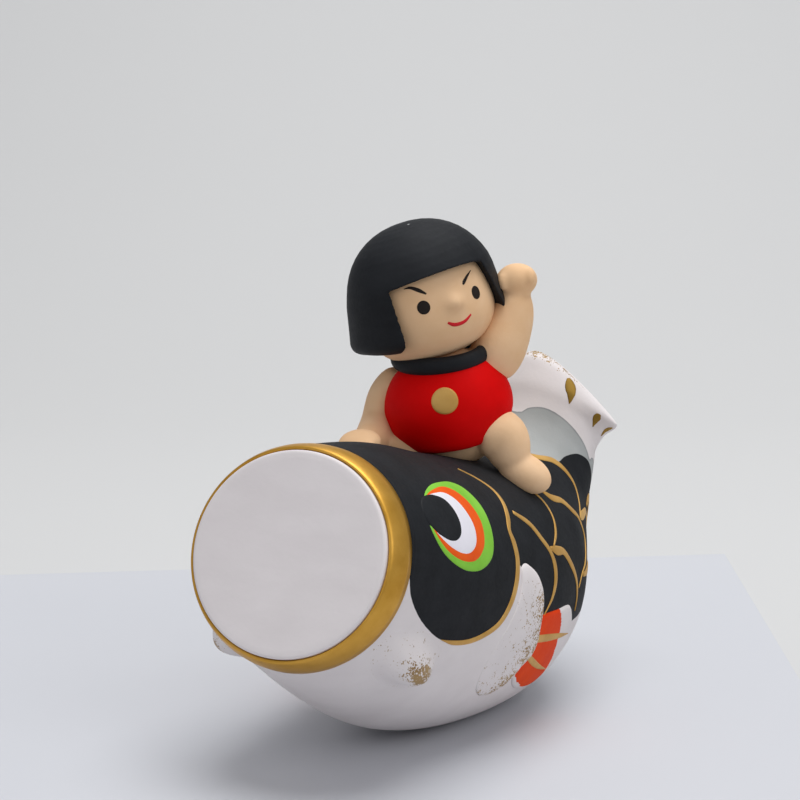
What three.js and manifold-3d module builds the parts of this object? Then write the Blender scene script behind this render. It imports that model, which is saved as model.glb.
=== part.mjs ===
// A clay figurine: a doll child rides on the back of a carp streamer.
// The carp is a hollow casting with a flat foot. Its mouth, tail and fins, and the child's
// head, hair, apron and limbs, are separate clay pieces that are luted on with slip.
// Millimetres. +Z is up, -Y is the way the carp faces, and +X is its left side.
// The origin is the middle of the flat foot, on the surface that the figurine stands on.
import * as THREE from 'three';
import { mergeVertices } from 'three/addons/utils/BufferGeometryUtils.js';
import Module from 'manifold-3d';

const wasm = await Module();
wasm.setup();

// ---- Driving sizes ----

// Carp
const BODY_LENGTH = 94; // mouth plane's centre to the back of the tail
const BACK_HEIGHT = 46.6; // the back where the child sits, above the table
const BODY_WIDTH = 48;
const BELLY_NARROWING = 0.05; // how much narrower a section is at its foot, and wider at its back
const WALL = 3.5; // thickness of the casting
const VENT_RADIUS = 4; // hole in the foot that lets the slip and the air out

// Mouth
const MOUTH_RADIUS = 19.2;
const MOUTH_OVAL = 1.07; // width of the mouth over its height
const MOUTH_PITCH = 20; // degrees that the mouth looks up
const RING_DEPTH = 4.7;
const RING_TAPER = 1.5; // how much smaller the ring is at its front
const RIM_GROOVE = 0.35; // step between the ring and the cover
const COVER_PROUD = 0.5; // how far the cover stands out of the ring
const SPIGOT_LENGTH = 3.2; // the part of the cover that goes inside the casting

// Tail
const TAIL_WIDTH = 34;
const TAIL_DROOP = 10.5; // how much lower the tail's corners are than its middle
const TENON_SHARE = 0.5; // size of the tail's tenon, of the section it stands on

// Fins
const SIDE_FIN_THICKNESS = 1.7;
const BELLY_FIN_THICKNESS = 0.8;
const FRONT_FIN_LENGTH = 7.6;
const FRONT_FIN_WIDTH = 6.2;

// Child
const TORSO_WIDTH = 22.1;
const TORSO_DEPTH = 19;
const TORSO_HEIGHT = 22; // seat to neck, before the carp's back is cut out of it
const RIDER_TURN = 28; // degrees that the child is turned towards the carp's left
const RIDER_LEAN = 6; // degrees that it leans to its right
const APRON_THICKNESS = 1.1;
const COLLAR_RADIUS = TORSO_WIDTH * 0.3575; // to the middle of the band
const COLLAR_LEVEL = 0.875; // of the torso's height
const COLLAR_HEIGHT = 3.4;
const COLLAR_THICKNESS = 1.9;
const COLLAR_SHIFT = [-0.6, -0.4]; // of its middle, from the body's axis
const HEAD_RADIUS = 12.5;
const CROWN_HEIGHT = 0.97; // of the head's radius, above its middle
const CHIN_DROP = 0.93; // and below it
const CHEEK_SQUARENESS = 2.5; // 2 would be a plain ball
const CHEEK_WIDENING = 0.12; // of the head's width, at the chin
const HEAD_TURN = 29; // degrees, from the way the body faces
const HEAD_ROLL = 12; // degrees, on top of the body's lean
const HAIR_THICKNESS = 1.4; // at the crown
const HAIR_FLARE = 0.5; // how much further out the hair's lower edge stands
const HAIR_SWEEP = 0.2; // how far the bob leans back, of the drop from the fringe
const ARM_RADIUS = 4.1;
const WRIST_RADIUS = 3.1;
const LEG_RADIUS = 4.8;
const FOOT_LENGTH = 10.6;

// Pegs that hold the child together and on the carp
const SEAT_PEG_RADIUS = 3.2;
const SEAT_PEG_DEPTH = 4.5; // below the carp's back
const NECK_PEG_RADIUS = 3.2;
const NECK_PEG_LENGTH = 5; // into the head

// Clearance where two pieces meet, which the slip fills
const GAP = 0.3;

// ---- Making and cutting solids ----

const DEGREE = Math.PI / 180;
const FAR = 4 * BODY_LENGTH; // reach of a cutting box

function solid(geometry) {
  const bare = geometry.clone();
  bare.deleteAttribute('normal');
  bare.deleteAttribute('uv');
  const merged = mergeVertices(bare, 1e-3);
  const triVerts = new Uint32Array(merged.index.array);
  const vertProperties = new Float32Array(merged.attributes.position.array);
  const made = new wasm.Manifold(new wasm.Mesh({ numProp: 3, vertProperties, triVerts }));
  if (made.volume() > 0) return made;
  for (let i = 0; i < triVerts.length; i += 3) {
    [triVerts[i], triVerts[i + 1]] = [triVerts[i + 1], triVerts[i]];
  }
  return new wasm.Manifold(new wasm.Mesh({ numProp: 3, vertProperties, triVerts }));
}

function geometryOf(made) {
  const mesh = made.getMesh();
  const positions = new Float32Array(mesh.numVert * 3);
  for (let i = 0; i < mesh.numVert; i += 1) {
    positions.set(mesh.vertProperties.subarray(i * mesh.numProp, i * mesh.numProp + 3), i * 3);
  }
  const geometry = new THREE.BufferGeometry();
  geometry.setAttribute('position', new THREE.BufferAttribute(positions, 3));
  geometry.setIndex(new THREE.BufferAttribute(new Uint32Array(mesh.triVerts), 1));
  geometry.computeVertexNormals();
  return geometry;
}

// Moves every vertex of a geometry to place(vertex).
function shaped(geometry, place) {
  const position = geometry.attributes.position;
  const vertex = new THREE.Vector3();
  for (let i = 0; i < position.count; i += 1) {
    const to = place(vertex.fromBufferAttribute(position, i));
    position.setXYZ(i, to.x, to.y, to.z);
  }
  return geometry;
}

function ellipsoid(rx, ry, rz, around = 24, down = 14) {
  return new THREE.SphereGeometry(1, around, down).rotateX(Math.PI / 2).scale(rx, ry, rz);
}

// A closed, round-ended tube along a smooth line, whose radius is radiusAt(share of the length).
function limb(points, radiusAt, around = 14, along = 14) {
  const line = new THREE.CatmullRomCurve3(points.map((p) => new THREE.Vector3(...p)));
  const frames = line.computeFrenetFrames(along, false);
  return shaped(new THREE.SphereGeometry(1, around, along), (v) => {
    const polar = Math.acos(THREE.MathUtils.clamp(-v.y, -1, 1)) / Math.PI;
    const share = 0.5 - 0.5 * Math.cos(polar * Math.PI);
    const index = Math.round(polar * along);
    const roundness = (1 - Math.abs(2 * share - 1) ** 4) ** 0.25;
    const angle = Math.atan2(v.z, v.x);
    const r = radiusAt(share) * roundness;
    return line
      .getPointAt(share)
      .addScaledVector(frames.normals[index], r * Math.cos(angle))
      .addScaledVector(frames.binormals[index], r * Math.sin(angle));
  });
}

function unionOf(...parts) {
  return parts.reduce((sum, part) => sum.add(part));
}

// ---- Finishes ----

function finish(color, roughness, metalness = 0) {
  return new THREE.MeshStandardMaterial({ color, roughness, metalness });
}
const WHITE_CLAY = finish(0xe9e4e4, 0.75);
const BLACK_PAINT = finish(0x26282b, 0.7);
const GOLD_PAINT = finish(0xb98a2c, 0.38, 0.6);
const SKIN_PAINT = finish(0xe2bd97, 0.75);
const RED_PAINT = finish(0xc20a0e, 0.7);

// ---- The carp's skin ----

// Each station of the body is a slanted oval section: its point on the back, its point on
// the belly, both as [along, up], and its half-width, in shares of the body's three sizes.
const STATIONS = [
  { back: [-0.32, 1.174], belly: [-0.463, 0.223], half: 0.95 },
  { back: [-0.17, 1.09], belly: [-0.324, 0.069], half: 0.99 },
  { back: [0.015, 1.004], belly: [-0.122, -0.021], half: 1.0 },
  { back: [0.138, 0.976], belly: [0.117, -0.021], half: 0.92 },
  { back: [0.212, 0.996], belly: [0.257, 0.146], half: 0.74 },
  { back: [0.257, 1.036], belly: [0.347, 0.352], half: 0.6 },
  { back: [0.284, 1.094], belly: [0.4, 0.564], half: 0.555 },
  { back: [0.302, 1.157], belly: [0.428, 0.785], half: 0.555 },
];
// The tail's stations. Half-widths are shares of the tail's own width, and droop is the
// share of TAIL_DROOP by which the section's ends hang below its middle.
const TAIL_STATIONS = [
  { back: [0.314, 1.216], belly: [0.434, 0.963], half: 0.88, droop: 0.33 },
  { back: [0.328, 1.263], belly: [0.432, 1.105], half: 0.99, droop: 0.69 },
  { back: [0.344, 1.31], belly: [0.42, 1.226], half: 1.01, droop: 0.98 },
  { back: [0.362, 1.349], belly: [0.398, 1.321], half: 0.94, droop: 1.1 },
];
const WAIST_STATION = 8; // counting the mouth as 0
const LAST_STATION = STATIONS.length + TAIL_STATIONS.length;

const pitch = MOUTH_PITCH * DEGREE;
const mouthCentre = new THREE.Vector3(0, -0.59 * BODY_LENGTH, 0.865 * BACK_HEIGHT);
const mouthUp = new THREE.Vector3(0, Math.sin(pitch), Math.cos(pitch));
const mouthOut = new THREE.Vector3(0, -Math.cos(pitch), Math.sin(pitch));
const collarOfMouth = mouthCentre.clone().addScaledVector(mouthOut, -RING_DEPTH);

function stationPoint([along, up]) {
  return new THREE.Vector3(0, along * BODY_LENGTH, up * BACK_HEIGHT);
}

const backPoints = [collarOfMouth.clone().addScaledVector(mouthUp, MOUTH_RADIUS)];
const bellyPoints = [collarOfMouth.clone().addScaledVector(mouthUp, -MOUTH_RADIUS)];
const sidePoints = [new THREE.Vector3(MOUTH_RADIUS * MOUTH_OVAL, 0, 0)]; // x half-width, y droop
for (const s of STATIONS) {
  backPoints.push(stationPoint(s.back));
  bellyPoints.push(stationPoint(s.belly));
  sidePoints.push(new THREE.Vector3((s.half * BODY_WIDTH) / 2, 0, 0));
}
for (const s of TAIL_STATIONS) {
  backPoints.push(stationPoint(s.back));
  bellyPoints.push(stationPoint(s.belly));
  sidePoints.push(new THREE.Vector3((s.half * TAIL_WIDTH) / 2, s.droop * TAIL_DROOP, 0));
}
const backLine = new THREE.CatmullRomCurve3(backPoints);
const bellyLine = new THREE.CatmullRomCurve3(bellyPoints);
const sideLine = new THREE.CatmullRomCurve3(sidePoints);

// A point of the skin. station counts from the mouth (0) to the tail's end, angle goes from
// the back (0) round the left side (half a turn is the belly), share is 1 on the skin and 0
// at the section's middle, and grow moves the point out of the skin by that much.
function skinPoint(station, angle, share = 1, grow = 0) {
  const t = THREE.MathUtils.clamp(station / LAST_STATION, 0, 1);
  const back = backLine.getPoint(t);
  const belly = bellyLine.getPoint(t);
  const side = sideLine.getPoint(t);
  const middle = back.clone().add(belly).multiplyScalar(0.5);
  const up = back.clone().sub(belly).multiplyScalar(0.5);
  const height = up.length();
  up.normalize();
  // The tail's end is rounded off over its last station.
  const ending = Math.max(0, station - LAST_STATION + 1);
  const rounding = Math.sqrt(Math.max(0.06, 1 - ending ** 2.6));
  const h = height * share * rounding + grow;
  const w = side.x * share * (0.25 * rounding + 0.75) + grow;
  const across = Math.sin(angle) * (1 + BELLY_NARROWING * Math.cos(angle));
  const point = middle.addScaledVector(up, Math.cos(angle) * h);
  point.x = across * w;
  point.z -= side.y * Math.abs(across) ** 1.55;
  return point;
}

// The closed solid of the skin between two stations.
function skinSolid(from, to, { grow = 0, share = 1, around = 36, perStation = 2.5 } = {}) {
  const steps = Math.ceil((to - from) * perStation);
  const tube = new THREE.CylinderGeometry(1, 1, 1, around, steps);
  return solid(
    shaped(tube, (v) => {
      const station = from + (v.y + 0.5) * (to - from);
      const edge = Math.hypot(v.x, v.z);
      const angle = Math.atan2(v.x, v.z);
      return edge < 0.5 ? skinPoint(station, 0, 0, 0) : skinPoint(station, angle, share, grow);
    }),
  );
}

// Everything under the table, as a cutting box.
function underTable(grow = 0) {
  return solid(new THREE.BoxGeometry(FAR, FAR, FAR).translate(0, 0, -FAR / 2 + grow));
}

// ---- Carp body: the hollow casting ----

const JOINT_STATION = WAIST_STATION - 0.6; // where the tail is luted on
const CAVITY_START = 0.12; // just inside the mouth's round opening
const CAVITY_END = JOINT_STATION - 2.1;
const TENON_START = JOINT_STATION - 0.8;
const JOINT_GAP = 0.045; // the clearance GAP, in stations

function carpBody() {
  const outer = skinSolid(0, JOINT_STATION).subtract(underTable());
  const cavity = skinSolid(CAVITY_START, CAVITY_END, { grow: -WALL, around: 32, perStation: 2 });
  const mouthOpening = solid(
    new THREE.CylinderGeometry(MOUTH_RADIUS - WALL, MOUTH_RADIUS - WALL, 8, 40)
      .scale(MOUTH_OVAL, 1, 1)
      .rotateX(-pitch)
      .translate(collarOfMouth.x, collarOfMouth.y, collarOfMouth.z),
  );
  const vent = solid(
    new THREE.CylinderGeometry(VENT_RADIUS, VENT_RADIUS, BACK_HEIGHT / 2, 24)
      .rotateX(Math.PI / 2)
      .translate(0, VENT_RADIUS * 2.4, 0),
  );
  const insideFloor = cavity.subtract(underTable(WALL));
  const socket = skinSolid(TENON_START - 0.1, JOINT_STATION + 0.2, {
    share: TENON_SHARE,
    grow: GAP,
    around: 24,
  });
  const seatHole = solid(seatPeg(GAP).applyMatrix4(rider.matrixWorld));
  const cuts = unionOf(insideFloor, mouthOpening, vent, socket, seatHole);
  return outer.subtract(cuts);
}

// ---- Tail ----

function tailFin() {
  const blade = skinSolid(JOINT_STATION + JOINT_GAP, LAST_STATION, { perStation: 4 });
  const tenon = skinSolid(TENON_START, JOINT_STATION + 0.3, { share: TENON_SHARE, around: 24 });
  return blade.add(tenon);
}

// ---- Mouth ring and cover ----
// Both are turned about the mouth's axis, so they are drawn as half-sections, out of the
// mouth along +Y, and stand in the mouth's group.

const openingRadius = MOUTH_RADIUS - WALL;
const ringFront = MOUTH_RADIUS - RING_TAPER;
const coverRadius = ringFront - RIM_GROOVE;

function turned(profile, around = 48) {
  return new THREE.LatheGeometry(profile, around);
}

function mouthRing() {
  const profile = [
    new THREE.Vector2(openingRadius, -RING_DEPTH + GAP),
    new THREE.Vector2(MOUTH_RADIUS, -RING_DEPTH + GAP),
    new THREE.Vector2(MOUTH_RADIUS - 0.25 * RING_TAPER, -0.45 * RING_DEPTH),
    new THREE.Vector2(MOUTH_RADIUS - 0.6 * RING_TAPER, -0.15 * RING_DEPTH),
    new THREE.Vector2(ringFront, 0),
    new THREE.Vector2(coverRadius + GAP, -RIM_GROOVE),
    new THREE.Vector2(openingRadius, -RIM_GROOVE),
    new THREE.Vector2(openingRadius, -RING_DEPTH + GAP),
  ];
  return solid(turned(profile));
}

function mouthCover() {
  const spigot = openingRadius - GAP;
  const back = -RIM_GROOVE + GAP;
  const profile = [
    new THREE.Vector2(0, -RING_DEPTH - SPIGOT_LENGTH),
    new THREE.Vector2(spigot, -RING_DEPTH - SPIGOT_LENGTH),
    new THREE.Vector2(spigot, back),
    new THREE.Vector2(coverRadius, back),
    new THREE.Vector2(coverRadius, COVER_PROUD * 0.4),
    new THREE.Vector2(coverRadius - 0.4, COVER_PROUD),
    new THREE.Vector2(0, COVER_PROUD),
  ];
  return solid(turned(profile));
}

// ---- Fins on the carp's left side; the right ones are their mirror image ----

// What a side outline, drawn along the body and up, cuts out of a solid's left half.
function sidePrism(outline) {
  const shape = new THREE.Shape();
  shape.moveTo(outline[0][0], outline[0][1]);
  shape.splineThru([...outline.slice(1), outline[0]].map((p) => new THREE.Vector2(...p)));
  const reach = { depth: BODY_WIDTH, bevelEnabled: false, curveSegments: 4 };
  const prism = new THREE.ExtrudeGeometry(shape, reach);
  return solid(shaped(prism, (v) => new THREE.Vector3(v.z + GAP, v.x, v.y)));
}

function inMillimetres(outline, scale = 1) {
  const middle = outline.reduce((sum, p) => [sum[0] + p[0], sum[1] + p[1]], [0, 0]);
  return outline.map((p) => {
    const [along, up] = p.map((c, i) => middle[i] / outline.length + scale * (c - middle[i] / outline.length));
    return [along * BODY_LENGTH, up * BACK_HEIGHT];
  });
}

function onBody(outline, thickness) {
  const range = { around: 36, perStation: 2 };
  const skinAndFin = skinSolid(0.4, JOINT_STATION, { ...range, grow: thickness + GAP });
  const skin = skinSolid(0, JOINT_STATION + 0.3, { ...range, grow: GAP });
  return skinAndFin.intersect(sidePrism(inMillimetres(outline))).subtract(skin);
}

// The broad fin behind the cheek, as [along, up] in shares of the body's length and height.
const FIN_CLEARANCE = 1.06; // scale of the side fin's outline that the belly fin keeps out of
const SIDE_FIN = [
  [-0.218, 0.738],
  [-0.165, 0.708],
  [-0.132, 0.622],
  [-0.122, 0.526],
  [-0.124, 0.418],
  [-0.13, 0.326],
  [-0.17, 0.264],
  [-0.218, 0.219],
  [-0.261, 0.29],
  [-0.274, 0.429],
  [-0.261, 0.601],
];
// The orange fin low on the flank, whose front edge is under the side fin.
const BELLY_FIN = [
  [-0.149, 0.506],
  [-0.03, 0.485],
  [0.026, 0.464],
  [0.066, 0.365],
  [0.079, 0.258],
  [0.043, 0.172],
  [-0.005, 0.124],
  [-0.067, 0.133],
  [-0.149, 0.225],
];

function bellyFin() {
  const underSideFin = sidePrism(inMillimetres(SIDE_FIN, FIN_CLEARANCE));
  return onBody(BELLY_FIN, BELLY_FIN_THICKNESS).subtract(underSideFin);
}

function frontFin() {
  const lump = new THREE.SphereGeometry(1, 22, 14).scale(
    FRONT_FIN_LENGTH,
    FRONT_FIN_WIDTH / 2,
    FRONT_FIN_WIDTH * 0.42,
  );
  const root = skinPoint(0.55, 128 * DEGREE);
  lump.rotateY(-8 * DEGREE).rotateZ(-20 * DEGREE);
  lump.translate(root.x - FRONT_FIN_LENGTH * 0.32, root.y, root.z);
  return solid(lump).subtract(skinSolid(0, 3, { grow: GAP }));
}

// ---- Child: where it sits, and its groups ----

const SEAT_STATION = 3.0;
const seat = skinPoint(SEAT_STATION, 0);

const rider = new THREE.Group();
rider.position.copy(seat);
rider.rotation.set(0, -RIDER_LEAN * DEGREE, RIDER_TURN * DEGREE, 'ZYX');

const neck = new THREE.Group();
neck.position.set(0.1, 0, TORSO_HEIGHT * 0.82);
neck.rotation.set(0, -HEAD_ROLL * DEGREE, 0);
rider.add(neck);

const headMount = new THREE.Group();
headMount.position.set(0, 0, HEAD_RADIUS * 1.02);
headMount.rotation.set(0, 0, HEAD_TURN * DEGREE);
neck.add(headMount);

rider.updateMatrixWorld(true);

// The peg under the body, through the carp's back, in the rider's frame.
function seatPeg(grow = 0) {
  const length = SEAT_PEG_DEPTH + TORSO_HEIGHT * 0.4;
  const peg = new THREE.CylinderGeometry(SEAT_PEG_RADIUS + grow, SEAT_PEG_RADIUS + grow, length, 20);
  return peg.rotateX(Math.PI / 2).translate(0, 0, length / 2 - SEAT_PEG_DEPTH);
}

// The peg between body and head, in the neck's frame.
function neckPeg(grow = 0) {
  const below = TORSO_HEIGHT * 0.3;
  const above = HEAD_RADIUS * 0.05 + NECK_PEG_LENGTH + grow;
  const radius = NECK_PEG_RADIUS + grow;
  const peg = new THREE.CylinderGeometry(radius, radius, above + below, 20);
  return peg.rotateX(Math.PI / 2).translate(0, 0, (above - below) / 2);
}

// The carp's skin with the slip's clearance, in a group's own frame.
function carpIn(group) {
  const tube = skinSolid(0, JOINT_STATION + 1.5, { grow: GAP });
  return solid(geometryOf(tube).applyMatrix4(group.matrixWorld.clone().invert()));
}

// A geometry of the head's frame, in the rider's frame.
function fromHead(geometry) {
  const toRider = rider.matrixWorld.clone().invert().multiply(headMount.matrixWorld);
  return geometry.applyMatrix4(toRider);
}

// ---- Torso, apron and collar ----

function torsoShape(grow = 0) {
  const barrel = new THREE.SphereGeometry(1, 28, 18).rotateX(Math.PI / 2);
  return shaped(barrel, (v) => {
    const fuller = 1 + 0.1 * (1 - v.z * v.z); // squarer than an egg at half height
    return new THREE.Vector3(
      v.x * fuller * (TORSO_WIDTH / 2 / 1.1 + grow),
      v.y * fuller * (TORSO_DEPTH / 2 / 1.1 + grow),
      TORSO_HEIGHT * 0.42 + v.z * (TORSO_HEIGHT * 0.52 + grow),
    );
  });
}

// A ball above the eyes, squarer and a little wider below them, for full cheeks.
function headShape(grow = 0) {
  return shaped(ellipsoid(1, 1, 1, 28, 18), (v) => {
    const below = Math.min(Math.max(0, -v.z), 0.999);
    const squarer = (1 - below ** CHEEK_SQUARENESS) ** (1 / CHEEK_SQUARENESS);
    const cheek = (squarer / Math.sqrt(1 - below * below)) * (1 + CHEEK_WIDENING * below * below);
    return new THREE.Vector3(
      v.x * cheek * (HEAD_RADIUS + grow),
      v.y * cheek * (HEAD_RADIUS * 0.96 + grow),
      v.z * (HEAD_RADIUS * (v.z > 0 ? CROWN_HEIGHT : CHIN_DROP) + grow),
    );
  });
}

function torso() {
  const neckCut = solid(fromHead(headShape(GAP)));
  const body = solid(torsoShape()).subtract(carpIn(rider)).subtract(neckCut);
  return unionOf(body, solid(seatPeg()), solid(neckPeg().applyMatrix4(neck.matrix)));
}

function apronOutline() {
  const w = TORSO_WIDTH / 2 + APRON_THICKNESS + GAP;
  const h = TORSO_HEIGHT;
  const outline = new THREE.Shape();
  outline.moveTo(-w * 0.6, h * 0.9);
  outline.bezierCurveTo(-w * 1.02, h * 0.72, -w * 1.12, h * 0.42, -w * 0.96, h * 0.26);
  outline.bezierCurveTo(-w * 0.82, h * 0.12, -w * 0.3, h * 0.07, 0, h * 0.08);
  outline.bezierCurveTo(w * 0.3, h * 0.07, w * 0.82, h * 0.12, w * 0.96, h * 0.26);
  outline.bezierCurveTo(w * 1.12, h * 0.42, w * 1.02, h * 0.72, w * 0.6, h * 0.9);
  outline.closePath();
  return outline;
}

function apron() {
  const reach = { depth: TORSO_DEPTH, bevelEnabled: false, curveSegments: 12 };
  const front = new THREE.ExtrudeGeometry(apronOutline(), reach).rotateX(Math.PI / 2);
  front.translate(0, -GAP, 0); // extrudes from the middle of the body forwards
  return solid(torsoShape(APRON_THICKNESS + GAP))
    .intersect(solid(front))
    .subtract(solid(torsoShape(GAP)))
    .subtract(carpIn(rider))
    .subtract(solid(fromHead(headShape(GAP))))
    .subtract(solid(collarShape(GAP)))
    .subtract(solid(overCollar()));
}

function collarShape(grow = 0) {
  const r = COLLAR_RADIUS;
  const t = COLLAR_THICKNESS / 2 + grow;
  const h = COLLAR_HEIGHT / 2 + grow;
  const section = [];
  for (let i = 0; i <= 10; i += 1) {
    const a = (i / 10) * 2 * Math.PI;
    section.push(new THREE.Vector2(r + t * Math.cos(a), h * Math.sin(a)));
  }
  return turned(section, 32)
    .rotateX(Math.PI / 2)
    .scale(1, TORSO_DEPTH / TORSO_WIDTH + 0.08, 1)
    .rotateX(8 * DEGREE)
    .translate(COLLAR_SHIFT[0], COLLAR_SHIFT[1], TORSO_HEIGHT * COLLAR_LEVEL);
}

// Everything inside the collar and above it.
function overCollar() {
  const plug = new THREE.CylinderGeometry(COLLAR_RADIUS * 2, COLLAR_RADIUS, COLLAR_HEIGHT * 2, 32);
  return plug
    .translate(0, COLLAR_HEIGHT / 2 - GAP, 0)
    .rotateX(Math.PI / 2)
    .scale(1, TORSO_DEPTH / TORSO_WIDTH + 0.08, 1)
    .rotateX(8 * DEGREE)
    .translate(COLLAR_SHIFT[0], COLLAR_SHIFT[1], TORSO_HEIGHT * COLLAR_LEVEL);
}

function collar() {
  return solid(collarShape())
    .subtract(solid(torsoShape(GAP)))
    .subtract(solid(fromHead(headShape(GAP))))
    .subtract(solid(fromHead(hairShape(GAP))));
}

// ---- Head and hair ----

const NOSE_RADIUS = 1.5;

function head() {
  const nose = ellipsoid(NOSE_RADIUS, NOSE_RADIUS * 0.9, NOSE_RADIUS * 0.8, 14, 10);
  nose.translate(0, -HEAD_RADIUS * 0.94, -HEAD_RADIUS * 0.09);
  const socket = neckPeg(GAP).applyMatrix4(headMount.matrix.clone().invert());
  return unionOf(solid(headShape()), solid(nose)).subtract(solid(socket));
}

const HAIR_BOTTOM = -0.56; // of the head's radius, below its middle
const FRINGE_HEIGHT = 0.33; // of the head's radius, above its middle
const HAIR_CORNER = 3.4; // how far in from its side the bob's lower edge is rounded
// The opening of the face from in front, as [across, up] in shares of the head's radius:
// the lock on the left cheek narrows to a point.
const FACE_OPENING = [
  [-0.83, -0.76],
  [-0.82, 0.24],
  [-0.42, 0.3],
  [0, FRINGE_HEIGHT],
  [0.34, 0.31],
  [0.6, 0.25],
  [0.97, -0.76],
];

// The bob's outer shape: a cap over the crown that widens towards a rounded lower edge.
function hairShape(grow = 0) {
  const r = HEAD_RADIUS + HAIR_THICKNESS + grow;
  const bottom = HAIR_BOTTOM * HEAD_RADIUS;
  const profile = new THREE.Path();
  profile.moveTo(0, r);
  profile.bezierCurveTo(r * 0.58, r, r, r * 0.62, r + HAIR_FLARE * 0.8, 0);
  profile.quadraticCurveTo(r + HAIR_FLARE * 2.4, bottom * 0.3, r + HAIR_FLARE * 2, bottom * 0.55);
  profile.quadraticCurveTo(r + HAIR_FLARE, bottom - grow, r - HAIR_CORNER, bottom - grow);
  profile.lineTo(0, bottom - grow);
  const bob = new THREE.LatheGeometry(profile.getPoints(6), 36).rotateX(Math.PI / 2);
  const fringe = FRINGE_HEIGHT * HEAD_RADIUS;
  return shaped(bob, (v) => new THREE.Vector3(v.x, v.y + HAIR_SWEEP * Math.max(0, fringe - v.z), v.z));
}

function faceOpening() {
  const plan = new THREE.Shape(FACE_OPENING.map((p) => new THREE.Vector2(...p).multiplyScalar(HEAD_RADIUS)));
  const depth = (HEAD_RADIUS + HAIR_THICKNESS) * 1.7;
  return new THREE.ExtrudeGeometry(plan, { depth, bevelEnabled: false }).rotateX(Math.PI / 2);
}

function inHead(geometry) {
  const toHead = headMount.matrixWorld.clone().invert().multiply(rider.matrixWorld);
  return geometry.applyMatrix4(toHead);
}

function hair() {
  return solid(hairShape())
    .subtract(solid(headShape(GAP)))
    .subtract(solid(faceOpening()))
    .subtract(solid(inHead(torsoShape(APRON_THICKNESS + 2 * GAP))));
}

// ---- Arms and legs ----

function handLump(centre, rx, ry, rz) {
  return solid(ellipsoid(rx, ry, rz, 16, 10).translate(...centre));
}

// Four fingers side by side, each a short capsule.
function fingers(centre, across, along, length, radius) {
  const all = [];
  for (let i = 0; i < 4; i += 1) {
    const finger = new THREE.CapsuleGeometry(radius, length, 2, 8);
    const turn = new THREE.Quaternion().setFromUnitVectors(new THREE.Vector3(0, 1, 0), along);
    finger.applyQuaternion(turn);
    const place = centre.clone().addScaledVector(across, (i - 1.5) * radius * 1.7);
    all.push(solid(finger.translate(place.x, place.y, place.z)));
  }
  return unionOf(...all);
}

function armLine(points, grow) {
  const radiusAt = (share) =>
    THREE.MathUtils.lerp(ARM_RADIUS, WRIST_RADIUS, Math.min(1, share * 1.15)) + grow;
  return solid(limb(points, radiusAt));
}

// Arms and legs go by the body's side and its shoulder height, so they follow its size.
const SIDE = TORSO_WIDTH / 2;
const SHOULDER = TORSO_HEIGHT * 0.7;
const shoulder = [SIDE * 0.76, 0.4, SHOULDER];

function leftArm() {
  const fist = new THREE.Vector3(HEAD_RADIUS * 1.164, 1.2, SHOULDER + 15.9);
  const across = new THREE.Vector3(1, 0, 0.1).normalize();
  const curled = new THREE.Vector3(0, -0.35, -1).normalize();
  const knuckles = fist.clone().add(new THREE.Vector3(0, -2.1, 0.5));
  return unionOf(
    armLine(
      [
        shoulder,
        [SIDE + 0.4, 1.0, SHOULDER + 4.1],
        [HEAD_RADIUS * 1.08, 1.4, SHOULDER + 9.1],
        [HEAD_RADIUS * 1.165, 1.3, SHOULDER + 14.4],
      ],
      0,
    ),
    handLump(fist.toArray(), 3.9, 3.2, 3.2),
    fingers(knuckles, across, curled, 1.6, 1.0),
  )
    .subtract(solid(torsoShape(APRON_THICKNESS + 2 * GAP)))
    .subtract(solid(collarShape(GAP)))
    .subtract(solid(fromHead(headShape(GAP))))
    .subtract(solid(fromHead(hairShape(GAP))));
}

function rightArmShape(grow = 0) {
  const palm = new THREE.Vector3(-SIDE - 5.3, -13.6, 6.9);
  const across = new THREE.Vector3(0.86, -0.5, 0.1).normalize();
  const forward = new THREE.Vector3(-0.35, -0.9, -0.3).normalize();
  const tips = palm.clone().add(new THREE.Vector3(-0.8, -2.6, -0.7));
  return unionOf(
    armLine(
      [
        [-SIDE * 0.7, 1.3, SHOULDER + 0.8],
        [-SIDE + 0.1, 1.9, SHOULDER * 0.77],
        [-SIDE - 1.8, 0.1, SHOULDER * 0.5],
        [-SIDE - 3.6, -5.4, 5.8],
        [-SIDE - 4.9, -11, 6.4],
      ],
      grow,
    ),
    handLump(palm.toArray(), 4.6 + grow, 3.8 + grow, 2.6 + grow),
    fingers(tips, across, forward, 2.4, 1.15 + grow),
  );
}

function rightArm() {
  return rightArmShape()
    .subtract(solid(torsoShape(APRON_THICKNESS + 2 * GAP)))
    .subtract(solid(fromHead(hairShape(GAP))))
    .subtract(solid(collarShape(GAP)))
    .subtract(carpIn(rider));
}

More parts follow.
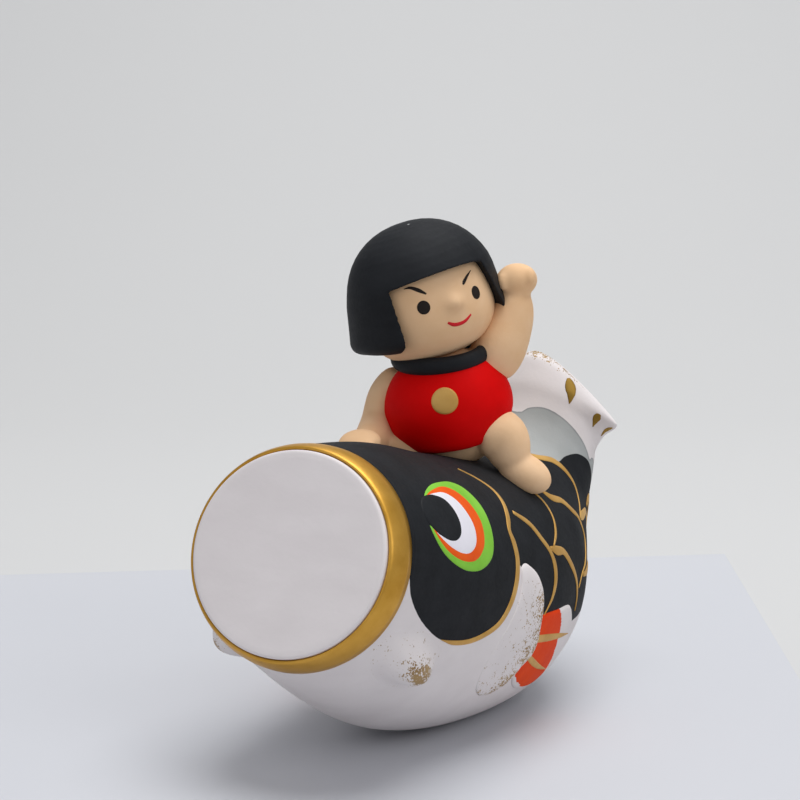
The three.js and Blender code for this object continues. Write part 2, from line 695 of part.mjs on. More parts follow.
function leg(side) {
  const hip = side > 0 ? [SIDE * 0.43, -4.5, 4.4] : [-SIDE * 0.4, -3.2, 2.6];
  const knee = side > 0 ? [SIDE - 1.9, -4.2, 3.9] : [-SIDE + 1.3, -2, 3.2];
  const heel = side > 0 ? [SIDE - 0.6, -4.8, -2.2] : [-SIDE - 1.6, -0.6, -1.4];
  const toes = side > 0 ? [SIDE + 3.4, -5.2, -4.6] : [-SIDE - 5.1, -1.2, -5.6];
  const thigh = limb([hip, knee, heel], (share) => LEG_RADIUS * (1 - 0.2 * share));
  const footLine = new THREE.Vector3(...toes).sub(new THREE.Vector3(...heel));
  const foot = ellipsoid(LEG_RADIUS * 0.78, FOOT_LENGTH / 2, LEG_RADIUS * 0.72, 20, 14);
  const turn = new THREE.Quaternion().setFromUnitVectors(
    new THREE.Vector3(0, 1, 0),
    footLine.clone().normalize(),
  );
  const middle = new THREE.Vector3(...heel).addScaledVector(footLine, 0.32);
  foot.applyQuaternion(turn).translate(middle.x, middle.y, middle.z);
  const apronCut = solid(torsoShape(APRON_THICKNESS + 2 * GAP));
  const whole = unionOf(solid(thigh), solid(foot)).subtract(apronCut).subtract(carpIn(rider));
  return side < 0 ? whole.subtract(rightArmShape(GAP)) : whole;
}

// ---- Assembly ----

function node(name, made, material, group, place) {
  const mesh = new THREE.Mesh(geometryOf(made), material);
  mesh.name = name;
  if (place) place(mesh);
  group.add(mesh);
  return mesh;
}

const figurine = new THREE.Group();

node('carp_body', carpBody(), BLACK_PAINT, figurine);
node('tail_fin', tailFin(), WHITE_CLAY, figurine);

const mouth = new THREE.Group();
mouth.position.copy(mouthCentre);
mouth.rotation.set(Math.PI - pitch, 0, 0); // the lathes' +Y becomes the way out of the mouth
mouth.scale.set(MOUTH_OVAL, 1, 1);
figurine.add(mouth);
node('mouth_ring', mouthRing(), GOLD_PAINT, mouth);
node('mouth_cover', mouthCover(), WHITE_CLAY, mouth);

for (const [hand, side] of [['left', 1], ['right', -1]]) {
  const mirrored = (mesh) => mesh.scale.set(side, 1, 1);
  node(`${hand}_side_fin`, onBody(SIDE_FIN, SIDE_FIN_THICKNESS), WHITE_CLAY, figurine, mirrored);
  node(`${hand}_belly_fin`, bellyFin(), WHITE_CLAY, figurine, mirrored);
  node(`${hand}_front_fin`, frontFin(), WHITE_CLAY, figurine, mirrored);
}

figurine.add(rider);
node('torso', torso(), SKIN_PAINT, rider);
node('apron', apron(), RED_PAINT, rider);
node('apron_collar', collar(), BLACK_PAINT, rider);
node('left_arm', leftArm(), SKIN_PAINT, rider);
node('right_arm', rightArm(), SKIN_PAINT, rider);
node('left_leg', leg(1), SKIN_PAINT, rider);
node('right_leg', leg(-1), SKIN_PAINT, rider);
node('head', head(), SKIN_PAINT, headMount);
node('hair_cap', hair(), BLACK_PAINT, headMount);

export default figurine;
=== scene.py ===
import math

import bmesh
import bpy
import numpy as np
from mathutils import Matrix, Vector


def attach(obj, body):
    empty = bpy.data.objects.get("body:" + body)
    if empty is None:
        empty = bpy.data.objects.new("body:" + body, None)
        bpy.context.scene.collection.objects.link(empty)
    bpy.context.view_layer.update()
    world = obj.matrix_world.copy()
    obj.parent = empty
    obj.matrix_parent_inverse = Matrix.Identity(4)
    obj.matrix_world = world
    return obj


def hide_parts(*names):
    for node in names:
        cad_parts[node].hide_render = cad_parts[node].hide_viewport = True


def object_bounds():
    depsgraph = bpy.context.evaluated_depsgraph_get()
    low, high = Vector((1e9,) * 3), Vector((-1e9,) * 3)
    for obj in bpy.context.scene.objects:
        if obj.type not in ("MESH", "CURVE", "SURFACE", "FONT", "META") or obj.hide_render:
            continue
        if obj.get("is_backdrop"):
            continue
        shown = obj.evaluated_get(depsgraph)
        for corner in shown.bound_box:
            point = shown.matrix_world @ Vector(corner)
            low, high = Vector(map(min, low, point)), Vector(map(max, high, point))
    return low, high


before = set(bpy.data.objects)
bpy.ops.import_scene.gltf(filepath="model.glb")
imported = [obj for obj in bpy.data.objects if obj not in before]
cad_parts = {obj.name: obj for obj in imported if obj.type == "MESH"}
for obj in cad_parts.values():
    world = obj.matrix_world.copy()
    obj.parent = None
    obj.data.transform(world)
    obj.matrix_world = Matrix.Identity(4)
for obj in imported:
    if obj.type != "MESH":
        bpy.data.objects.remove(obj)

cad_low, cad_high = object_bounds()
bpy.ops.object.select_all(action="DESELECT")

# ----------------------------------------
# Carp body and tail
# A hollow slip-cast carp in unglazed clay. The tail is luted on and the seam sponged
# smooth, so body and tail are one skin, dipped white and then painted matt black and grey.
# ----------------------------------------
FIGURE_HEIGHT = 90.9  # millimetres from the table to the crown of the hair
MM = (cad_high.z - cad_low.z) / FIGURE_HEIGHT  # everything below is in these millimetres

MOUTH_MIDDLE = (-55.46, 40.31)  # along, up
MOUTH_PITCH = math.radians(20)
MOUTH_RADIUS = 19.2
MOUTH_OVAL = 1.07
RING_DEPTH = 4.7
BODY_WIDTH = 48.0
BELLY_NARROWING = 0.05
TAIL_WIDTH = 34.0
TAIL_DROOP = 10.5
VENT_RADIUS = 4.0
VENT_DEPTH = 9.0

mouth_up = Vector((0, math.sin(MOUTH_PITCH), math.cos(MOUTH_PITCH)))
mouth_out = Vector((0, -math.cos(MOUTH_PITCH), math.sin(MOUTH_PITCH)))
mouth_middle = Vector((0, *MOUTH_MIDDLE))
mouth_collar = mouth_middle - mouth_out * RING_DEPTH

# Slanted ovals, mouth to tail: back and belly (along, up), half-width, and the tail's droop.
BODY_SECTIONS = [
    ((-30.08, 54.71), (-43.52, 10.39), 0.95),
    ((-15.98, 50.79), (-30.46, 3.22), 0.99),
    ((1.41, 46.79), (-11.47, -0.98), 1.0),
    ((12.97, 45.48), (11.0, -0.98), 0.92),
    ((19.93, 46.41), (24.16, 6.8), 0.74),
    ((24.16, 48.28), (32.62, 16.4), 0.6),
    ((26.7, 50.98), (37.6, 26.28), 0.555),
    ((28.39, 53.92), (40.23, 36.58), 0.555),
]
TAIL_SECTIONS = [
    ((29.52, 56.67), (40.8, 44.88), 0.88, 0.33),
    ((30.83, 58.86), (40.61, 51.49), 0.99, 0.69),
    ((32.34, 61.05), (39.48, 57.13), 1.01, 0.98),
    ((34.03, 62.86), (37.41, 61.56), 0.94, 1.1),
]
back_line = [mouth_collar + mouth_up * MOUTH_RADIUS]
belly_line = [mouth_collar - mouth_up * MOUTH_RADIUS]
side_line = [Vector((MOUTH_RADIUS * MOUTH_OVAL, 0, 0))]
for back, belly, half in BODY_SECTIONS:
    back_line.append(Vector((0, *back)))
    belly_line.append(Vector((0, *belly)))
    side_line.append(Vector((half * BODY_WIDTH / 2, 0, 0)))
for back, belly, half, droop in TAIL_SECTIONS:
    back_line.append(Vector((0, *back)))
    belly_line.append(Vector((0, *belly)))
    side_line.append(Vector((half * TAIL_WIDTH / 2, droop * TAIL_DROOP, 0)))
TAIL_END = len(back_line) - 1


def through(points, share):
    """A point on the smooth line through the points, share 0 to 1."""
    place = (len(points) - 1) * min(max(share, 0), 1)
    first = min(int(place), len(points) - 2)
    rest = place - first
    one, two = points[first], points[first + 1]
    before = points[first - 1] if first > 0 else 2 * one - two
    after = points[first + 2] if first + 2 < len(points) else 2 * two - one
    middle = max((two - one).length ** 0.5, 1e-4)
    early = (one - before).length ** 0.5 or middle
    late = (after - two).length ** 0.5 or middle
    leave = ((one - before) / early - (two - before) / (early + middle)) * middle + (two - one)
    reach = ((after - two) / late - (after - one) / (middle + late)) * middle + (two - one)
    bend = (-3 * one + 3 * two - 2 * leave - reach) * rest ** 2
    return one + leave * rest + bend + (2 * one - 2 * two + leave + reach) * rest ** 3


def skin_point(station, degrees, grow=0.0):
    """A point of the carp's skin: station 0 at the mouth, degrees from the back to the left."""
    share = station / TAIL_END
    back, belly, side = (through(line, share) for line in (back_line, belly_line, side_line))
    upward = (back - belly) / 2
    height = upward.length
    ending = max(0, station - TAIL_END + 1)
    rounding = math.sqrt(max(0.06, 1 - ending ** 2.6))
    angle = math.radians(degrees)
    across = math.sin(angle) * (1 + BELLY_NARROWING * math.cos(angle))
    point = (back + belly) / 2 + upward / height * math.cos(angle) * (height * rounding + grow)
    point.x = across * (side.x * (0.25 * rounding + 0.75) + grow)
    point.z -= side.y * abs(across) ** 1.55
    return point * MM


def marked(shape, vertex, station, degrees):
    """Notes on a vertex where on the skin it lies, for the paint to follow."""
    for name, value in (
        ("along", station),
        ("side", math.sin(math.radians(degrees))),
        ("top", math.cos(math.radians(degrees))),
    ):
        layer = shape.verts.layers.float.get(name)
        vertex[layer] = value


def named(piece, name):
    """Gives the piece and its mesh the same name."""
    piece.name = name
    piece.data.name = name
    return piece


def pulled(name, rings, closed=False, marks=None):
    """A tube: a circle extruded ring by ring, each ring set to its own outline."""
    rings = rings + rings[:1] if closed else rings
    bpy.ops.object.select_all(action="DESELECT")
    bpy.ops.mesh.primitive_circle_add(vertices=len(rings[0]), radius=MM, fill_type="NOTHING")
    piece = named(bpy.context.object, name)
    bpy.ops.object.mode_set(mode="EDIT")
    bpy.ops.mesh.select_all(action="SELECT")
    shape = bmesh.from_edit_mesh(piece.data)
    for label in ("place", "level"):
        shape.verts.layers.int.new(label)
    for mark in ("along", "side", "top"):
        shape.verts.layers.float.new(mark)
    place = shape.verts.layers.int["place"]
    for index, vertex in enumerate(shape.verts):
        vertex[place] = index
    for number, ring in enumerate(rings):
        if number:
            bpy.ops.mesh.extrude_region_move()
        shape = bmesh.from_edit_mesh(piece.data)
        place = shape.verts.layers.int["place"]
        level = shape.verts.layers.int["level"]
        for vertex in shape.verts:
            if vertex.select:
                vertex.co = ring[vertex[place]]
                vertex[level] = number
                if marks:
                    marked(shape, vertex, *marks[number][vertex[place]])
        bmesh.update_edit_mesh(piece.data)
    if not closed:
        bpy.ops.mesh.edge_face_add()
        bpy.ops.mesh.select_all(action="DESELECT")
        shape = bmesh.from_edit_mesh(piece.data)
        level = shape.verts.layers.int["level"]
        for edge in shape.edges:
            edge.select = all(vertex[level] == 0 for vertex in edge.verts)
        shape.select_flush(True)
        bmesh.update_edit_mesh(piece.data)
        bpy.ops.mesh.edge_face_add()
    else:
        bpy.ops.mesh.select_all(action="SELECT")
        bpy.ops.mesh.remove_doubles(threshold=0.001 * MM)
    bpy.ops.mesh.select_all(action="SELECT")
    bpy.ops.mesh.normals_make_consistent(inside=False)
    bpy.ops.object.mode_set(mode="OBJECT")
    bpy.ops.object.shade_smooth()
    return piece


def chosen(piece):
    """Makes the piece the only one selected."""
    bpy.ops.object.select_all(action="DESELECT")
    piece.select_set(True)
    bpy.context.view_layer.objects.active = piece


def finished(piece, kind, **settings):
    """Adds a modifier to the piece and applies it."""
    chosen(piece)
    modifier = piece.modifiers.new(kind.lower(), kind)
    for name, value in settings.items():
        setattr(modifier, name, value)
    bpy.ops.object.modifier_apply(modifier=modifier.name)


SKIN_AROUND = 64
SKIN_PER_STATION = 5
skin_rings = []
skin_marks = []
for step in range(TAIL_END * SKIN_PER_STATION + 1):
    station = step / SKIN_PER_STATION
    turns = [360 * k / SKIN_AROUND for k in range(SKIN_AROUND)]
    skin_rings.append([skin_point(station, turn) for turn in turns])
    skin_marks.append([(station, turn) for turn in turns])
carp_skin = pulled("carp_skin", skin_rings, marks=skin_marks)
chosen(carp_skin)
bpy.ops.object.mode_set(mode="EDIT")
bpy.ops.mesh.select_all(action="DESELECT")
shape = bmesh.from_edit_mesh(carp_skin.data)
level = shape.verts.layers.int["level"]
for edge in shape.edges:
    edge.select = all(vertex[level] == 0 for vertex in edge.verts)
bmesh.update_edit_mesh(carp_skin.data)
bpy.ops.transform.edge_crease(value=1.0)
bpy.ops.object.mode_set(mode="OBJECT")
finished(carp_skin, "SUBSURF", levels=2, render_levels=2)

# The belly is cut flat to stand on, and the vent is bored up into it.
chosen(carp_skin)
bpy.ops.object.mode_set(mode="EDIT")
bpy.ops.mesh.select_all(action="SELECT")
bpy.ops.mesh.bisect(
    plane_co=(0, 0, cad_low.z),
    plane_no=(0, 0, 1),
    use_fill=True,
    clear_inner=True,
    threshold=1e-7,
)
bpy.ops.object.mode_set(mode="OBJECT")
bpy.ops.object.select_all(action="DESELECT")
bpy.ops.mesh.primitive_cylinder_add(
    vertices=64,
    radius=VENT_RADIUS * MM,
    depth=2 * VENT_DEPTH * MM,
    location=(0, 2.4 * VENT_RADIUS * MM, 0),
)
vent_bore = bpy.context.object
finished(carp_skin, "BOOLEAN", operation="DIFFERENCE", object=vent_bore, solver="EXACT")
bpy.data.objects.remove(vent_bore)


DEGREES_PER_STATION = 30  # one station along the skin weighs about as much as this turn


def curve(points, per_span=8, closed=False):
    """A smooth line on the skin, as (station, degrees) pairs."""
    flat = [Vector((s, a / DEGREES_PER_STATION, 0)) for s, a in points]
    if closed:
        flat = flat[-2:] + flat + flat[:3]
    spans = len(flat) - 1
    steps = range(spans * per_span + 1)
    if closed:
        steps = range(2 * per_span, (2 + len(points)) * per_span)
    dense = [through(flat, step / (spans * per_span)) for step in steps]
    return [(p.x, p.y * DEGREES_PER_STATION) for p in dense]


def numbers(piece, name):
    values = np.zeros(len(piece.data.vertices))
    piece.data.attributes[name].data.foreach_get("value", values)
    return values


def noted(piece, name, values):
    """Keeps one number per vertex on the piece under a name."""
    layer = piece.data.attributes.new(name, "FLOAT", "POINT")
    layer.data.foreach_set("value", np.asarray(values, dtype=np.float32))


def place_on_skin(piece):
    along = numbers(piece, "along")
    degrees = np.degrees(np.arctan2(np.abs(numbers(piece, "side")), numbers(piece, "top")))
    return along, degrees


def paint_area(piece, name, outline, closed_back=True):
    """Millimetres from each vertex to a painted outline, positive inside it."""
    along, degrees = place_on_skin(piece)
    spots = np.zeros(len(piece.data.vertices) * 3)
    piece.data.vertices.foreach_get("co", spots)
    spots = spots.reshape(-1, 3) / MM
    spots[:, 0] = np.abs(spots[:, 0])
    inside = np.zeros(len(spots), dtype=bool)
    nearest = np.full(len(spots), 1e3)
    ends = [np.array(skin_point(s, a)) / MM for s, a in outline]
    for index in range(len(outline)):
        after = (index + 1) % len(outline)
        (s1, a1), (s2, a2) = outline[index], outline[after]
        crossing = (a1 > degrees) != (a2 > degrees)
        if a1 != a2:
            inside ^= crossing & (along < (s2 - s1) * (degrees - a1) / (a2 - a1) + s1)
        if closed_back and ((a1 < 1 and a2 < 1) or (s1 < 0.01 and s2 < 0.01)):
            continue
        start, run = ends[index], ends[after] - ends[index]
        length = max(float(run @ run), 1e-9)
        share = np.clip((spots - start) @ run / length, 0, 1)
        gap = np.linalg.norm(spots - start - share[:, None] * run, axis=1)
        nearest = np.minimum(nearest, gap)
    noted(piece, name, np.where(inside, nearest, -nearest))


# The black runs from the mouth over the cheek patch, under the side fin and round the back.
BLACK_EDGE = [
    (0, 92), (0.12, 100), (0.35, 106.5), (0.62, 110.5), (0.88, 112), (1.14, 111), (1.42, 108),
    (1.7, 103), (1.94, 97), (2.08, 89), (2.16, 81), (2.19, 73), (2.27, 73.5), (2.42, 88), (2.7, 99),
    (3.3, 102), (3.8, 102), (4.3, 104), (5.0, 107), (5.8, 112), (6.5, 113), (7.0, 107),
    (7.16, 98), (7.2, 88), (7.15, 78), (6.82, 62), (6.2, 49), (5.46, 40), (5.25, 34),
]
GREY_EDGE = [
    (5.0, 32), (5.2, 42), (5.9, 52), (6.5, 64), (6.8, 76), (6.85, 90), (6.75, 102),
    (6.7, 112), (6.8, 120), (7.05, 126), (7.35, 122), (7.52, 112), (7.57, 100), (7.53, 91),
    (7.42, 85.5), (7.28, 82), (7.34, 74), (7.42, 62), (7.52, 48), (7.62, 34), (7.64, 22),
    (7.42, 10), (7.08, 4),
]
black_outline = [(0, 0)] + curve(BLACK_EDGE) + [(4.9, 24), (4.75, 0)]
grey_outline = [(4.7, 0), (4.85, 22)] + curve(GREY_EDGE) + [(7.05, 0)]
paint_area(carp_skin, "black", black_outline)
paint_area(carp_skin, "grey", grey_outline)
along, degrees = place_on_skin(carp_skin)
rim = np.clip((along - 10.9) / 1.1, 0, 1)
noted(carp_skin, "sponge", 0.95 * rim ** 0.8 * np.clip((58 - degrees) / 26, 0, 1))

# --- The clay's own finish, shared by every piece ---


def group_of(name, inputs, outputs):
    """A shader node group with its sockets made, ready to be wired."""
    group = bpy.data.node_groups.new(name, "ShaderNodeTree")
    for label, value in inputs:
        socket = group.interface.new_socket(label, in_out="INPUT", socket_type="NodeSocketFloat")
        socket.default_value = value
    for label in outputs:
        group.interface.new_socket(label, in_out="OUTPUT", socket_type="NodeSocketFloat")
    return group, group.nodes.new("NodeGroupInput"), group.nodes.new("NodeGroupOutput")


def sums(tree, operation, first, second=None, third=None, clamp=False):
    """A math node on sockets or plain numbers; returns its output."""
    node = tree.nodes.new("ShaderNodeMath")
    node.operation = operation
    node.use_clamp = clamp
    for index, value in enumerate((first, second, third)):
        if value is None:
            continue
        if isinstance(value, (int, float)):
            node.inputs[index].default_value = value
        else:
            tree.links.new(value, node.inputs[index])
    return node.outputs[0]


def noise(tree, scale, detail=2.0, stretch=None):
    """Noise on object coordinates, per metre."""
    coordinates = tree.nodes.new("ShaderNodeTexCoord")
    where = coordinates.outputs["Object"]
    if stretch:
        mapping = tree.nodes.new("ShaderNodeMapping")
        mapping.inputs["Scale"].default_value = stretch
        tree.links.new(where, mapping.inputs["Vector"])
        where = mapping.outputs["Vector"]
    node = tree.nodes.new("ShaderNodeTexNoise")
    node.inputs["Detail"].default_value = detail
    if isinstance(scale, (int, float)):
        node.inputs["Scale"].default_value = scale
    else:
        tree.links.new(scale, node.inputs["Scale"])
    tree.links.new(where, node.inputs["Vector"])
    return node.outputs["Fac"]


def span(tree, value, low, high, to_low=0.0, to_high=1.0):
    """Maps low..high on to to_low..to_high, clamped."""
    node = tree.nodes.new("ShaderNodeMapRange")
    node.inputs["From Min"].default_value = low
    node.inputs["From Max"].default_value = high
    node.inputs["To Min"].default_value = to_low
    node.inputs["To Max"].default_value = to_high
    tree.links.new(value, node.inputs["Value"])
    return node.outputs["Result"]


# Clay grain: Height for the bump, Tone for uneven, hand-laid colour, Gloss for roughness.
clay_grain, entry, result = group_of(
    "clay grain", [("Grain per metre", 1500.0), ("Lumps", 0.35)], ["Height", "Tone", "Gloss"]
)
fine = noise(clay_grain, entry.outputs["Grain per metre"], 3.0)
lumps = noise(clay_grain, 210.0, 2.0)
cloud = noise(clay_grain, 55.0, 4.0)
brushed = noise(clay_grain, 260.0, 3.0, (0.35, 1.0, 1.0))
height = sums(clay_grain, "MULTIPLY_ADD", lumps, entry.outputs["Lumps"], fine)
clay_grain.links.new(height, result.inputs["Height"])
tone = sums(clay_grain, "MULTIPLY_ADD", brushed, 0.45, sums(clay_grain, "MULTIPLY", cloud, 0.55))
clay_grain.links.new(span(clay_grain, tone, 0.36, 0.64), result.inputs["Tone"])
gloss = sums(clay_grain, "MULTIPLY_ADD", fine, 0.35, sums(clay_grain, "MULTIPLY", cloud, 0.65))
clay_grain.links.new(span(clay_grain, gloss, 0.35, 0.65), result.inputs["Gloss"])

# Brush edge: turns the millimetres to an outline into a mask with a slightly shaky edge.
brush_edge, entry, result = group_of(
    "brush edge", [("Distance", 0.0), ("Shake", 0.22), ("Softness", 0.09)], ["Mask"]
)
shaky = sums(brush_edge, "SUBTRACT", noise(brush_edge, 330.0, 2.0), 0.5)
moved = sums(brush_edge, "MULTIPLY_ADD", shaky, entry.outputs["Shake"], entry.outputs["Distance"])
edge = sums(brush_edge, "DIVIDE", moved, entry.outputs["Softness"])
edge = sums(brush_edge, "ADD", edge, 0.5, clamp=True)
brush_edge.links.new(edge, result.inputs["Mask"])

# Sponged speckle: dabs of gold whose density follows the mask.
sponge_dabs, entry, result = group_of("sponge dabs", [("Density", 0.0)], ["Mask"])
dots = noise(sponge_dabs, 3000.0, 1.5)
patches = noise(sponge_dabs, 700.0, 2.0)
grit = sums(sponge_dabs, "MULTIPLY_ADD", patches, 0.42, sums(sponge_dabs, "MULTIPLY", dots, 0.58))
needed = sums(sponge_dabs, "MULTIPLY_ADD", entry.outputs["Density"], -0.21, 0.625)
above = sums(sponge_dabs, "SUBTRACT", grit, needed)
above = sums(sponge_dabs, "MULTIPLY", above, 16.0, clamp=True)
sponge_dabs.links.new(above, result.inputs["Mask"])

# Specks: the odd pale grain of dust or bare clay that shows on dark paint.
pale_specks, entry, result = group_of("pale specks", [("Rarity", 0.5)], ["Mask"])
cells = pale_specks.nodes.new("ShaderNodeTexVoronoi")
cells.inputs["Scale"].default_value = 190.0
where = pale_specks.nodes.new("ShaderNodeTexCoord")
pale_specks.links.new(where.outputs["Object"], cells.inputs["Vector"])
near = span(pale_specks, cells.outputs["Distance"], 0.035, 0.06, 1.0, 0.0)
split = pale_specks.nodes.new("ShaderNodeSeparateColor")
pale_specks.links.new(cells.outputs["Color"], split.inputs["Color"])
lucky = sums(pale_specks, "GREATER_THAN", split.outputs[0], entry.outputs["Rarity"])
pale_specks.links.new(sums(pale_specks, "MULTIPLY", near, lucky), result.inputs["Mask"])


def placed(tree, group, **values):
    """One use of a node group, with its own values."""
    node = tree.nodes.new("ShaderNodeGroup")
    node.node_tree = group
    for label, value in values.items():
        socket = node.inputs[label.replace("_", " ")]
        if isinstance(value, (int, float)):
            socket.default_value = value
        else:
            tree.links.new(value, socket)
    return node


def blended(tree, mask, below, above):
    """Colour `above` laid over colour `below` where the mask is 1."""
    node = tree.nodes.new("ShaderNodeMix")
    node.data_type = "RGBA"
    for socket, value in ((node.inputs[6], below), (node.inputs[7], above)):
        if isinstance(value, tuple):
            socket.default_value = (*value, 1.0)
        else:
            tree.links.new(value, socket)
    tree.links.new(mask, node.inputs[0])
    return node.outputs[2]


def mark_of(tree, name):
    node = tree.nodes.new("ShaderNodeAttribute")
    node.attribute_name = name
    return node.outputs["Fac"]


class Finish:
    """A painted clay material: colours are laid on one by one over the clay's grain."""

    def __init__(self, name, low, high, rough=(0.62, 0.78), depth=0.05, grain=1500.0):
        self.material = bpy.data.materials.new(name)
        self.material.use_nodes = True
        self.tree = self.material.node_tree
        self.shader = self.tree.nodes["Principled BSDF"]
        self.clay = placed(self.tree, clay_grain, Grain_per_metre=grain)
        self.colour = self.toned(low, high)
        self.rough = span(self.tree, self.clay.outputs["Gloss"], 0, 1, *rough)
        self.metal = None
        bump = self.tree.nodes.new("ShaderNodeBump")
        bump.inputs["Strength"].default_value = 0.5
        bump.inputs["Distance"].default_value = depth * MM
        self.tree.links.new(self.clay.outputs["Height"], bump.inputs["Height"])
        self.tree.links.new(bump.outputs["Normal"], self.shader.inputs["Normal"])
        self.shader.inputs["Specular IOR Level"].default_value = 0.17

    def toned(self, low, high):
        return blended(self.tree, self.clay.outputs["Tone"], low, high)

    def lay(self, mask, low, high):
        self.colour = blended(self.tree, mask, self.colour, self.toned(low, high))

    def gild(self, mask, low, high, rough=0.36, metal=0.75):
        self.lay(mask, low, high)
        smoother = sums(self.tree, "MULTIPLY", mask, rough)
        kept = sums(self.tree, "SUBTRACT", 1.0, mask)
        self.rough = sums(self.tree, "MULTIPLY_ADD", self.rough, kept, smoother)
        shine = sums(self.tree, "MULTIPLY", mask, metal)
        self.metal = sums(self.tree, "MAXIMUM", self.metal, shine) if self.metal else shine

    def done(self):
        self.tree.links.new(self.colour, self.shader.inputs["Base Color"])
        self.tree.links.new(self.rough, self.shader.inputs["Roughness"])
        if self.metal:
            self.tree.links.new(self.metal, self.shader.inputs["Metallic"])
        return self.material


WHITE_LOW = (0.74, 0.69, 0.685)
WHITE_HIGH = (0.79, 0.74, 0.735)
BLACK_LOW = (0.0075, 0.0085, 0.0105)
BLACK_HIGH = (0.0155, 0.017, 0.02)
GREY_LOW = (0.36, 0.375, 0.37)
GREY_HIGH = (0.43, 0.445, 0.44)
GREY_RIM = (0.24, 0.25, 0.255)
OCHRE_GOLD_LOW = (0.50, 0.255, 0.03)
OCHRE_GOLD_HIGH = (0.68, 0.38, 0.07)

carp_paint = Finish("white clay with black and grey paint", WHITE_LOW, WHITE_HIGH)
tree = carp_paint.tree
grey_mask = placed(tree, brush_edge, Distance=mark_of(tree, "grey")).outputs["Mask"]
black_mask = placed(tree, brush_edge, Distance=mark_of(tree, "black")).outputs["Mask"]
sponge_mask = placed(tree, sponge_dabs, Density=mark_of(tree, "sponge")).outputs["Mask"]
carp_paint.lay(grey_mask, GREY_LOW, GREY_HIGH)
grey_rim = span(tree, mark_of(tree, "grey"), 0.14, 0.4, 1.0, 0.0)
carp_paint.lay(sums(tree, "MULTIPLY", grey_mask, grey_rim), GREY_RIM, GREY_LOW)
carp_paint.lay(black_mask, BLACK_LOW, BLACK_HIGH)
speck_mask = placed(tree, pale_specks, Rarity=0.86).outputs["Mask"]
carp_paint.lay(sums(tree, "MULTIPLY", speck_mask, black_mask), GREY_LOW, WHITE_LOW)
sponged = sums(tree, "MULTIPLY", sponge_mask, span(tree, mark_of(tree, "sponge"), 0.02, 0.1))
carp_paint.gild(sponged, (0.24, 0.15, 0.06), (0.40, 0.27, 0.12), 0.5, 0.3)
carp_skin.data.materials.append(carp_paint.done())
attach(carp_skin, "root")
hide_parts("carp_body", "tail_fin")

# ----------------------------------------
# Mouth ring and mouth cover
# The ring is the raised lip round the open mouth, brushed with ochre gold. The cover is a
# flat round plate of white clay let into it, with a fine groove left between the two.
# ----------------------------------------
RING_TAPER = 1.5
RIM_GROOVE = 0.35
COVER_PROUD = 0.5
LIP_WIDTH = 3.5
ring_front = MOUTH_RADIUS - RING_TAPER
cover_radius = ring_front - RIM_GROOVE
opening_radius = MOUTH_RADIUS - LIP_WIDTH
MOUTH_AROUND = 128


def mouth_ring_at(radius, outwards):
    """One ring of points about the mouth's axis."""
    points = []
    for k in range(MOUTH_AROUND):
        angle = 2 * math.pi * k / MOUTH_AROUND
        across = Vector((math.sin(angle) * radius * MOUTH_OVAL, 0, 0))
        middle = mouth_middle + mouth_out * outwards
        points.append((middle + mouth_up * math.cos(angle) * radius + across) * MM)
    return points


lip_profile = [
    (opening_radius, -RING_DEPTH),
    (MOUTH_RADIUS, -RING_DEPTH - 0.02),
    (MOUTH_RADIUS - 0.05 * RING_TAPER, -0.75 * RING_DEPTH),
    (MOUTH_RADIUS - 0.2 * RING_TAPER, -0.5 * RING_DEPTH),
    (MOUTH_RADIUS - 0.42 * RING_TAPER, -0.27 * RING_DEPTH),
    (MOUTH_RADIUS - 0.68 * RING_TAPER, -0.1 * RING_DEPTH),
    (ring_front + 0.2, -0.03),
    (ring_front, 0.0),
    (ring_front - 0.15, -0.03),
    (cover_radius + 0.12, -0.5),
    (opening_radius, -0.6),
]
mouth_lip = pulled("mouth_lip", [mouth_ring_at(r, out) for r, out in lip_profile], closed=True)
gold_paint = Finish("brushed ochre gold", OCHRE_GOLD_LOW, OCHRE_GOLD_HIGH, (0.34, 0.46), 0.04)
gold_paint.metal = span(gold_paint.tree, gold_paint.clay.outputs["Gloss"], 0, 1, 0.62, 0.78)
mouth_lip.data.materials.append(gold_paint.done())
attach(mouth_lip, "root")
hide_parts("mouth_ring")

plate_profile = [
    (cover_radius - 0.3, -1.6),
    (cover_radius, -1.2),
    (cover_radius, COVER_PROUD * 0.1),
    (cover_radius - 0.06, COVER_PROUD * 0.55),
    (cover_radius - 0.25, COVER_PROUD * 0.88),
    (cover_radius - 0.6, COVER_PROUD),
    (cover_radius - 1.6, COVER_PROUD),
    (cover_radius * 0.6, COVER_PROUD),
    (cover_radius * 0.25, COVER_PROUD),
    (0.3, COVER_PROUD),
]
mouth_plate = pulled("mouth_plate", [mouth_ring_at(r, out) for r, out in plate_profile])
white_clay = Finish("white clay", WHITE_LOW, WHITE_HIGH, (0.6, 0.75), 0.045, 1300.0)
white_clay_material = white_clay.done()
mouth_plate.data.materials.append(white_clay_material)
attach(mouth_plate, "root")
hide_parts("mouth_cover")

# ----------------------------------------
# Side fins
# Broad leaf-shaped fins pressed up from the flank behind each cheek, thin in front and
# standing clear at the rear edge, left white and dabbed with gold from a sponge.
# ----------------------------------------


